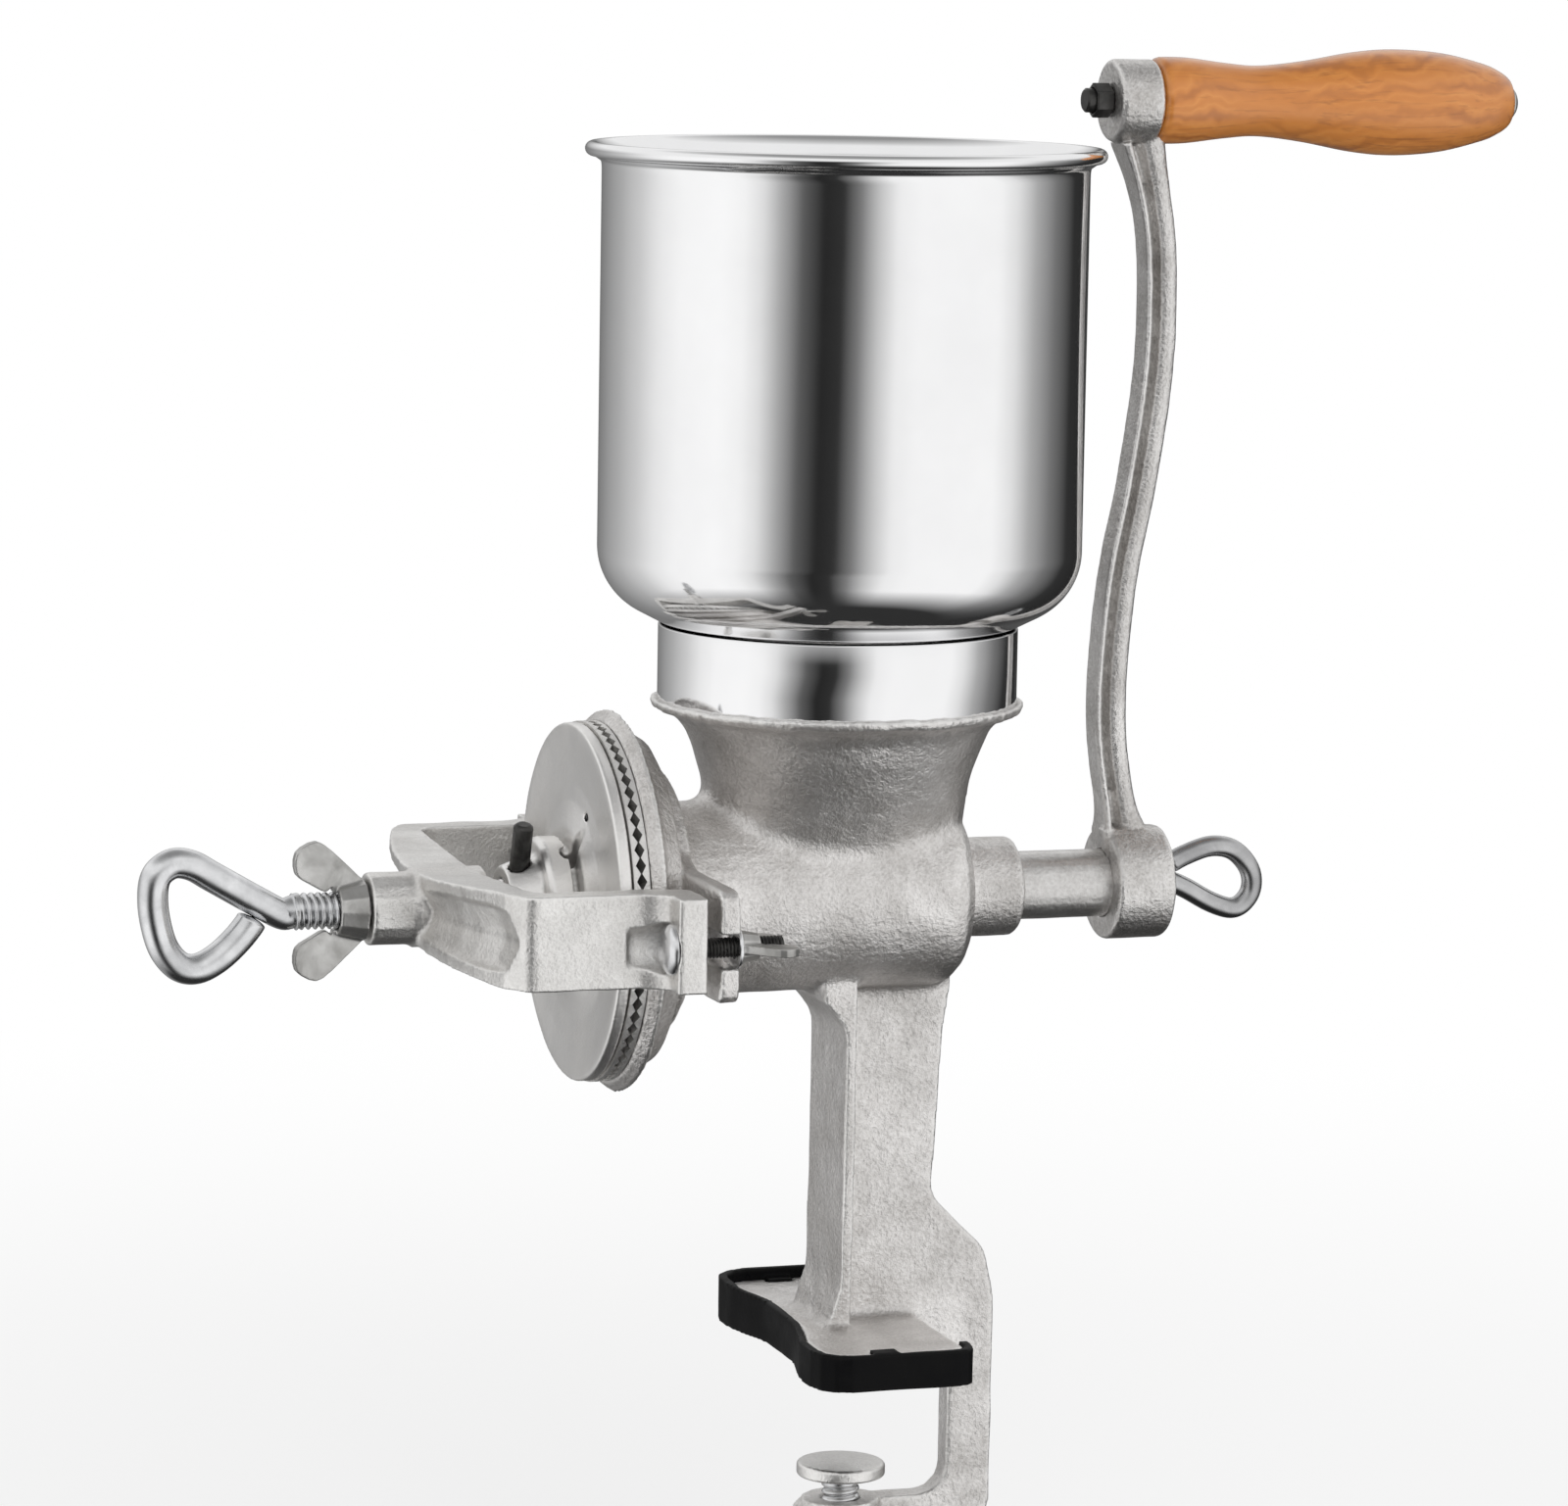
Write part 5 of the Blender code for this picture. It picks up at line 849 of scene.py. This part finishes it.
def makeYokeAndCrank():
    castPiece("yoke", "frame", "cast yoke", yokeCasting, 5)
    look = crankCasting

    def atEnds(p):
        return (p[:, 2] < shaftZ + look["rootTop"]) | (p[:, 2] > look["rootBottom"])

    onHub = aroundShaft(*look["hub"])
    onBoss = aroundShaft(*look["boss"], height=look["grip"])
    rounding = (
        rounder("X", look["hubSides"], onHub, (0.0, shaftZ)),
        rounder("X", look["bossSides"], onBoss, (0.0, look["grip"])),
    )
    castPiece("crank_arm", "drive", "cast crank", look, 7, rounding,
              [(atEnds, look["rootRounds"])], source=crankMesh())


makeYokeAndCrank()

# rotor, auger, boot and the small cast nuts: body, slot, finish, then the numbers named here
smallKeys = ("voxel", "passes", "fillets", "swell", "sides", "inner")
smallCastings = {
    "rotor_disc": ("drive", "cast_metal", "turned rotor", 0.0006, 6, 5, 0.00003, 28, 0.012),
    "auger": ("drive", "cast_metal", "turned shaft", 0.0008, 8, 15, 0.00004, 16, 0.009),
    "rubber_foot": ("frame", "black_rubber", "black rubber", 0.0006, 4, 0, 0.00006),
    "lock_wing_nut": ("lock_nut", "zinc_steel", "dull zinc", 0.0004, 6, 25, 0.00004),
    "front_wing_nut": ("front_nut", "zinc_steel", "dull zinc", 0.0003, 5, 15, 0.0),
    "rear_wing_nut": ("rear_nut", "zinc_steel", "dull zinc", 0.0003, 5, 15, 0.0),
    "drive_pin": ("drive", "black_steel", "black steel", 0.0004, 4, 0, 0.0),
    "spindle_nut": ("drive", "black_steel", "black steel", 0.0003, 4, 0, 0.0),
}


def makeSmallCastings():
    for node, (body, slotName, finish, *numbers) in smallCastings.items():
        look = dict(zip(smallKeys, numbers), swellLength=0.010)
        rounding = ()
        if "sides" in look:
            rounding = (rounder("X", look["sides"], aroundShaft(look["inner"]), (0.0, shaftZ)),)
        castPiece(node, body, finish, look, rounding=rounding)


makeSmallCastings()

# hopper: bowl with a rolled rim, and its neck band
hopper = {
    "sheet": 0.0009, "gap": 0.0003, "radius": 0.0750, "neckRadius": 0.0558, "neckTop": 0.0840,
    "shoulder": 0.0220, "shoulderTurn": 62.0, "rim": 0.2300, "bead": 0.0022, "overhang": 0.0030,
    "spout": 0.0120, "seatTop": 0.0610, "seatDepth": 0.0018, "sides": 192,
    # the bead's arc, in half turns, and the fillet below it
    "beadStart": 0.86, "beadSweep": 1.42, "filletReach": 0.55, "filletDepth": 0.35,
    "collarEdge": 0.42,
}


def makeHopper():
    h = hopper
    sheet = h["sheet"]
    spout = h["neckRadius"] - sheet - h["gap"]
    rimZ = shaftZ + h["rim"]
    bendZ = shaftZ + h["neckTop"] + h["gap"]
    turn = math.radians(h["shoulderTurn"])
    arcDrop = h["shoulder"] * math.sin(turn)
    arcIn = h["shoulder"] * (1 - math.cos(turn))
    shoulderZ = bendZ + (h["radius"] - arcIn - spout) / math.tan(turn) + arcDrop
    bead, overhang = h["bead"], h["overhang"]
    beadRadius = h["radius"] + overhang
    beadFoot = rimZ - bead - overhang

    def shoulderArc(arc, wall, steps):
        angles = [turn * i / steps for i in range(steps + 1)]
        return [(shoulderZ - arc * math.sin(a), wall - arc * (1 - math.cos(a))) for a in angles]

    outside = []
    for i in range(17):
        angle = math.pi * (h["beadStart"] - i * h["beadSweep"] / 16)
        outside.append((rimZ + bead * math.sin(angle), beadRadius + bead * math.cos(angle)))
    reach = overhang * h["filletReach"]
    for i in range(7):  # the fillet under the bead runs down into the wall
        angle = math.pi / 2 * i / 6
        outside.append((beadFoot - reach + reach * 2 * math.cos(angle) ** 2,
                        h["radius"] + reach * h["filletDepth"] * (1 - math.sin(angle)) ** 2))
    outside += shoulderArc(h["shoulder"], h["radius"], 24)
    outside += [(bendZ + 0.0004, spout + 0.0004), (bendZ, spout), (bendZ - h["spout"], spout)]
    inside = [(bendZ - h["spout"], spout - sheet), (bendZ + sheet * 0.5, spout - sheet)]
    inside += shoulderArc(h["shoulder"] - sheet, h["radius"] - sheet, 16)[::-1]
    inside += [(beadFoot, h["radius"] - sheet), (rimZ - 0.0010, beadRadius - bead - 0.0013)]
    bowl = turned("hopper bowl", outside + inside, (0, 0, 0), "Z", h["sides"], ring=True)
    addPiece("hopper_bowl_polished", bowl, "frame", "polished sheet",
             ["hopper_bowl"], 50)

    low = shaftZ + h["seatTop"] - h["seatDepth"] + h["gap"]
    high = shaftZ + h["neckTop"]
    outer, inner = h["neckRadius"], h["neckRadius"] - sheet
    edge = sheet * h["collarEdge"]
    around = ((high, outer), (low, outer), (low, inner), (high, inner))
    profile = roundCorners([(z, radius, edge) for z, radius in around], 3)
    collar = turned("hopper collar", profile, (0, 0, 0), "Z", h["sides"], ring=True)
    addPiece("hopper_collar_polished", collar, "frame", "polished sheet",
             ["hopper_collar"], 50)


makeHopper()
print("hopper turned")

# adjusting screw and its bent eye: places along the shaft and heights above it
adjusting = {
    "radius": 0.0057, "threadDepth": 0.0010, "pitch": 0.0022, "rod": 0.00465,
    "threadStart": 0.0006, "threadEnd": -0.1728, "runOut": 0.0025, "roundEnd": 0.0014,
    "eye": (
        (-0.1760, -0.0008), (-0.1830, 0.0029), (-0.1908, 0.0074), (-0.1985, 0.0119),
        (-0.2044, 0.0153), (-0.2103, 0.0160), (-0.2153, 0.0121), (-0.2162, 0.0041),
        (-0.2146, -0.0051), (-0.2120, -0.0113), (-0.2076, -0.0157), (-0.2022, -0.0163),
        (-0.1961, -0.0132), (-0.1905, -0.0082), (-0.1868, -0.0038), (-0.1852, -0.0012),
    ),
}


def makeAdjustingScrew():
    a = adjusting
    _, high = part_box("adjusting_screw")
    tip = high.x
    length = tip - a["threadEnd"]
    path = [(tip - length * i / 6, 0, shaftZ) for i in range(7)]
    path += [(x, 0, shaftZ + z) for x, z in a["eye"]]
    mesh = swept("adjusting screw", path, screwRadius(a, a["threadStart"], length), 0.00028, 44)
    addPiece("adjusting_screw_bent", mesh, "adjuster", "zinc steel",
             ["adjusting_screw"], 60)


makeAdjustingScrew()

# eye bolt on the end of the shaft: places beyond the face and heights above the shaft
crankEye = {
    "radius": 0.0033, "roundEnd": 0.0008, "face": 0.1084,
    "eye": (
        (0.0030, -0.0002), (0.0095, -0.0026), (0.0190, -0.0078), (0.0270, -0.0098),
        (0.0322, -0.0050), (0.0320, 0.0022), (0.0262, 0.0088), (0.0182, 0.0104),
        (0.0095, 0.0078), (0.0042, 0.0052),
    ),
}


def makeCrankEye():
    c = crankEye
    low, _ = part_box("crank_eye_bolt")
    start = low.x
    path = [(start + (c["face"] - start) * i / 4, 0, shaftZ) for i in range(4)]
    path += [(c["face"] + x, 0, shaftZ + z) for x, z in c["eye"]]
    plainRod = threaded(c["radius"], 0, 1, 0, 0, c["roundEnd"])
    mesh = swept("crank eye bolt", path, plainRod, 0.0005, 36)
    addPiece("crank_eye_bolt_bent", mesh, "eye_bolt", "eye steel",
             ["crank_eye_bolt"], 60)


makeCrankEye()

# clamp under the foot: threaded screw, its bent eye (drops and places across), swivel pad
clamp = {
    "x": 0.006, "radius": 0.0060, "threadDepth": 0.0009, "pitch": 0.0025, "rod": 0.0042,
    "tip": 0.00342, "low": -0.1240, "runOut": 0.004, "roundEnd": 0.0014,
    "eye": (
        (0.0040, 0.0000), (0.0150, 0.0086), (0.0290, 0.0175), (0.0400, 0.0118),
        (0.0430, -0.0057), (0.0340, -0.0181), (0.0220, -0.0148), (0.0120, -0.0099),
    ),
}
clampPad = {"radius": 0.0140, "foot": 0.0080, "footRise": 0.0015, "slack": 0.0004, "socket": 0.0030}


def makeClamp():
    c, pad = clamp, clampPad
    _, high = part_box("clamp_screw")
    padLow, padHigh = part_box("clamp_pad")
    length = high.z - c["low"]
    path = [(c["x"], 0, high.z - length * i / 8) for i in range(9)]
    path += [(c["x"] + across, 0, c["low"] - drop) for drop, across in c["eye"]]
    tipLength = high.z - padLow.z + 0.0003
    mesh = swept("clamp screw", path, screwRadius(c, tipLength, length, tipLength), 0.0003, 44)
    addPiece("clamp_screw_bent", mesh, "clamp", "zinc steel", ["clamp_screw"], 60)

    top, bottom, wide = padHigh.z, padLow.z, pad["radius"]
    hole, ceiling = c["tip"] + pad["slack"], bottom + pad["socket"]
    profile = roundCorners([
        (top, 0, 0), (top, wide, 0.0012), (bottom + pad["footRise"], wide, 0.0010),
        (bottom, pad["foot"], 0.0010), (bottom, hole, 0.0002), (ceiling, hole, 0), (ceiling, 0, 0),
    ], 4, closed=False)
    mesh = turned("clamp pad", profile, (c["x"], 0, 0), "Z", 72)
    addPiece("clamp_pad_turned", mesh, "pad", "cast yoke", ["clamp_pad"], 40)


makeClamp()
print("screws and eyes swept")

# carriage bolts of the yoke, with domed heads and threaded shanks, and their washers
bolts = {
    "y": 0.0800, "z": -0.0018, "radius": 0.0031, "threadDepth": 0.0005, "pitch": 0.0011,
    "roundEnd": 0.0006, "head": 0.0078, "dome": 0.0036, "neck": 0.0034, "neckLength": 0.0040,
    "neckCorner": 0.0005, "overlap": 0.0004, "washerEdge": 0.0003, "washerSlack": 0.0004,
}


def makeBolts():
    b = bolts
    for side, label in ((-1, "front"), (1, "rear")):
        node = f"{label}_bolt"
        low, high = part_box(node)
        centre = (0, side * b["y"], shaftZ + b["z"])
        headX = low.x + b["dome"]
        dome = [(headX - b["dome"] * math.sin(a), b["head"] * math.cos(a))
                for a in np.linspace(math.pi / 2, 0, 14)]
        dome[0] = (low.x, 0)
        dome += [(headX, b["neck"]), (headX + b["overlap"], 0)]
        head = turned(node + " head", dome, centre, "X", 64)
        half, corner = b["neck"], b["neckCorner"]
        square = ((-half, -half), (half, -half), (half, half), (-half, half))
        ring = roundCorners([(y, z, corner) for y, z in square], 3)
        neckEnds = (headX - b["overlap"], headX + b["neckLength"])
        points = [(x, centre[1] + y, centre[2] + z) for x in neckEnds for y, z in ring]
        neck = meshFrom(node + " neck", points, tubeFaces(2, len(ring)))
        length = high.x - headX
        path = [(headX + length * i / 4, centre[1], centre[2]) for i in range(5)]
        thread = threaded(b["radius"], b["threadDepth"], b["pitch"], b["neckLength"], length,
                          b["roundEnd"])
        shank = swept(node + " shank", path, thread, 0.00015, 28)
        piece = addPiece(f"{label}_bolt_threaded", joined(node, [head, neck, shank]), "frame",
                         "black steel", [node], 45)
        secondFinish(piece, "zinc steel", lambda spot: spot.x < headX)

        node = f"{label}_washer"
        low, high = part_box(node)
        outer, inner = (high.z - low.z) / 2, b["radius"] + b["washerSlack"]
        edge = b["washerEdge"]
        around = ((low.x, outer), (low.x, inner), (high.x, inner), (high.x, outer))
        profile = roundCorners([(x, radius, edge) for x, radius in around], 2)
        washer = turned(node, profile, centre, "X", 64, ring=True)
        addPiece(f"{label}_washer_turned", washer, "frame", "zinc steel", [node], 45)


makeBolts()

# wooden grip on its spindle
grip = {
    "start": 0.1007, "length": 0.1205, "bore": 0.0042, "height": 0.3922, "sides": 120,
    "uneven": 0.00018, "unevenLength": 0.055, "unevenFrom": 0.006,
    "profile": (
        (0.0000, 0.0125), (0.0012, 0.0135), (0.0030, 0.0137), (0.0110, 0.0134), (0.0240, 0.0118),
        (0.0350, 0.01115), (0.0500, 0.0128), (0.0670, 0.0157), (0.0810, 0.0167), (0.0970, 0.0156),
        (0.1110, 0.0124), (0.1165, 0.0102), (0.1195, 0.0083), (0.1205, 0.0066),
    ),
}
spindle = {
    "radius": 0.0038, "cap": 0.0053, "capLength": 0.0030, "capEdge": 0.0022, "dome": 0.30,
    "bevel": 0.0006,
}


def makeGrip():
    g = grip
    line, _ = smoothLine([(x, r, 0) for x, r in g["profile"]], 0.0008, 0)
    end = g["start"] + g["length"]
    profile = [(g["start"] + x, r) for x, r, _ in line]
    profile[0] = (g["start"], profile[0][1])
    profile[-1] = (end, profile[-1][1])
    profile += [(end, g["bore"]), (g["start"], g["bore"])]
    mesh = turned("grip", profile, (0, 0, g["height"]), "X", g["sides"], ring=True)
    places = getPoints(mesh)
    radius = shaftRadius(places, g["height"])
    worn = waves(places, g["unevenLength"], 21) * g["uneven"] - g["uneven"] * 0.5
    worn = worn * (radius > g["unevenFrom"])
    places[:, 1] *= 1 + worn / radius
    places[:, 2] = g["height"] + (places[:, 2] - g["height"]) * (1 + worn / radius)
    setPoints(mesh, places)
    addPiece("grip_handle_turned", mesh, "grip", "grip wood", ["grip_handle"], 50)

    s = spindle
    low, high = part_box("grip_spindle")
    capX = high.x - s["capLength"]
    # a cap of 60 degrees is half of its radius high
    profile = [(high.x - s["cap"] * s["dome"] * (1 - math.cos(a)) / 0.5, s["cap"] * math.sin(a))
               for a in np.linspace(0, math.pi / 3, 6)]
    profile[0] = (high.x, 0)
    profile += [
        (high.x - s["capEdge"], s["cap"]), (capX, s["cap"]), (capX, s["radius"]),
        (low.x + s["bevel"], s["radius"]), (low.x, s["radius"] - s["bevel"]), (low.x, 0),
    ]
    mesh = turned("grip spindle", profile, (0, 0, g["height"]), "X", 64)
    piece = addPiece("grip_spindle_turned", mesh, "drive", "black steel",
                     ["grip_spindle"], 40)
    secondFinish(piece, "dull zinc", lambda spot: spot.x > capX - 0.0002)


makeGrip()
print("bolts and grip turned")

# inner pieces keep their solids and get a finish
finishes = {
    "stationary_burr": "burr iron",
    "rotating_burr": "burr iron",
    "stationary_burr_screw_1": "black steel",
    "stationary_burr_screw_2": "black steel",
    "rotating_burr_screw_1": "black steel",
    "rotating_burr_screw_2": "black steel",
    "thrust_washer": "turned steel",
    "thrust_pad": "turned steel",
}
for node, finish in finishes.items():
    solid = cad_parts[node]
    if not solid.material_slots:
        solid.data.materials.append(materials[finish])
    for place in solid.material_slots:
        place.material = materials[finish]

# floor, lights and surroundings
floor = {
    "radius": 2.1, "gap": 0.0006, "colour": 0.93, "rough": 0.9,
    "white": 0.6, "fadeFrom": 0.45, "fadeTo": 1.5,
}
# how bright the room is round the mill, by angle from the camera's direction
room = {
    "towardCamera": -108.47,
    "bands": (
        (-180, 0.14), (-155, 0.26), (-133, 0.42), (-114, 0.62), (-99, 0.85), (-85, 0.96),
        (-62, 1.0), (-50, 0.95), (-41, 0.78), (-32, 0.42), (-22, 0.11), (-12, 0.02),
        (-3, 0.03), (5, 0.20), (14, 0.58), (23, 0.90), (34, 0.97), (75, 0.97),
        (86, 0.80), (99, 0.42), (115, 0.18), (134, 0.03), (155, 0.02), (180, 0.10),
    ),
    "lean": 0.035, "leanHeights": (-0.22, -0.06),
    "above": 0.88, "aboveHeights": (0.02, 0.34),
    "overhead": 0.30, "overheadHeights": (0.66, 0.95),
    "below": 0.03, "belowHeights": (-0.58, -0.90),
    "soft": 0.46,
}
lamps = (
    {"name": "key", "place": (-0.45, -2.3, 1.4), "size": 1.2, "energy": 34.0},
    {"name": "fill", "place": (1.7, -1.3, 1.2), "size": 1.4, "energy": 9.0},
    {"name": "back", "place": (0.6, 1.8, 1.9), "size": 1.4, "energy": 12.0},
)
lampAim = (0, 0, 0.15)


def makeFloor():
    builder = bmesh.new()
    bmesh.ops.create_circle(builder, cap_ends=True, segments=96, radius=floor["radius"])
    mesh = newMesh("floor", builder)
    made = bpy.data.objects.new("floor", mesh)
    made.location.z = solidLow.z - floor["gap"]
    scene.collection.objects.link(made)
    material, tree, shader = newMaterial("pale floor")
    feed(tree, shader, {
        "Base Color": grey(floor["colour"]), "Roughness": floor["rough"], "Specular IOR Level": 0.0,
    })
    away = vectors(tree, "LENGTH", put(tree, "ShaderNodeTexCoord")["Object"])["Value"]
    fade = between(tree, away, floor["white"], 1.0, floor["fadeFrom"], floor["fadeTo"],
                   interpolation_type="SMOOTHSTEP")
    share = maths(tree, "MULTIPLY", fade, put(tree, "ShaderNodeLightPath")["Is Camera Ray"])
    light = put(tree, "ShaderNodeEmission", {"Color": grey(1.0), "Strength": 1.0})[0]
    both = put(tree, "ShaderNodeMixShader", {0: share, 1: shader.outputs[0], 2: light})[0]
    feed(tree, tree.nodes["Material Output"], {"Surface": both})
    mesh.materials.append(material)
    made.visible_glossy = False  # polished metal mirrors the room, as in the photograph


def makeRoom():
    world = bpy.data.worlds.new("room")
    world.use_nodes = True
    scene.world = world
    tree = world.node_tree
    tree.nodes.clear()
    facing = put(tree, "ShaderNodeVectorRotate", {
        "Vector": put(tree, "ShaderNodeTexCoord")["Generated"],
        "Angle": -math.radians(room["towardCamera"]),
    }, rotation_type="Z_AXIS")[0]
    parts = put(tree, "ShaderNodeSeparateXYZ", {0: facing})
    height = parts["Z"]
    angle = maths(tree, "ARCTAN2", parts["Y"], parts["X"])
    leaning = between(tree, height, room["lean"], -room["lean"], *room["leanHeights"])
    leaned = maths(tree, "ADD", angle, leaning)
    stops = [(degrees / 360 + 0.5, grey(level)) for degrees, level in room["bands"]]
    mirrored = ramp(tree, between(tree, leaned, 0.0, 1.0, -math.pi, math.pi), stops)
    for part in ("above", "overhead", "below"):
        share = between(tree, height, 0.0, 1.0, *room[part + "Heights"])
        mirrored = mix(tree, share, mirrored, grey(room[part]))
    rays = put(tree, "ShaderNodeLightPath")
    soft = mix(tree, rays["Is Diffuse Ray"], mirrored, grey(room["soft"]))
    seen = mix(tree, rays["Is Camera Ray"], soft, grey(1.0))
    background = put(tree, "ShaderNodeBackground", {"Color": seen, "Strength": 1.0})[0]
    put(tree, "ShaderNodeOutputWorld", {"Surface": background})


def makeLamps():
    for lamp in lamps:
        data = bpy.data.lights.new(lamp["name"], "AREA")
        data.size = lamp["size"]
        data.energy = lamp["energy"]
        made = bpy.data.objects.new(lamp["name"], data)
        scene.collection.objects.link(made)
        made.location = Vector(lamp["place"])
        made.visible_glossy = False
        made.rotation_mode = "QUATERNION"
        aim = Vector(lampAim) - Vector(lamp["place"])
        made.rotation_quaternion = aim.to_track_quat("-Z", "Y")


makeFloor()
makeRoom()
makeLamps()
print("stage set")
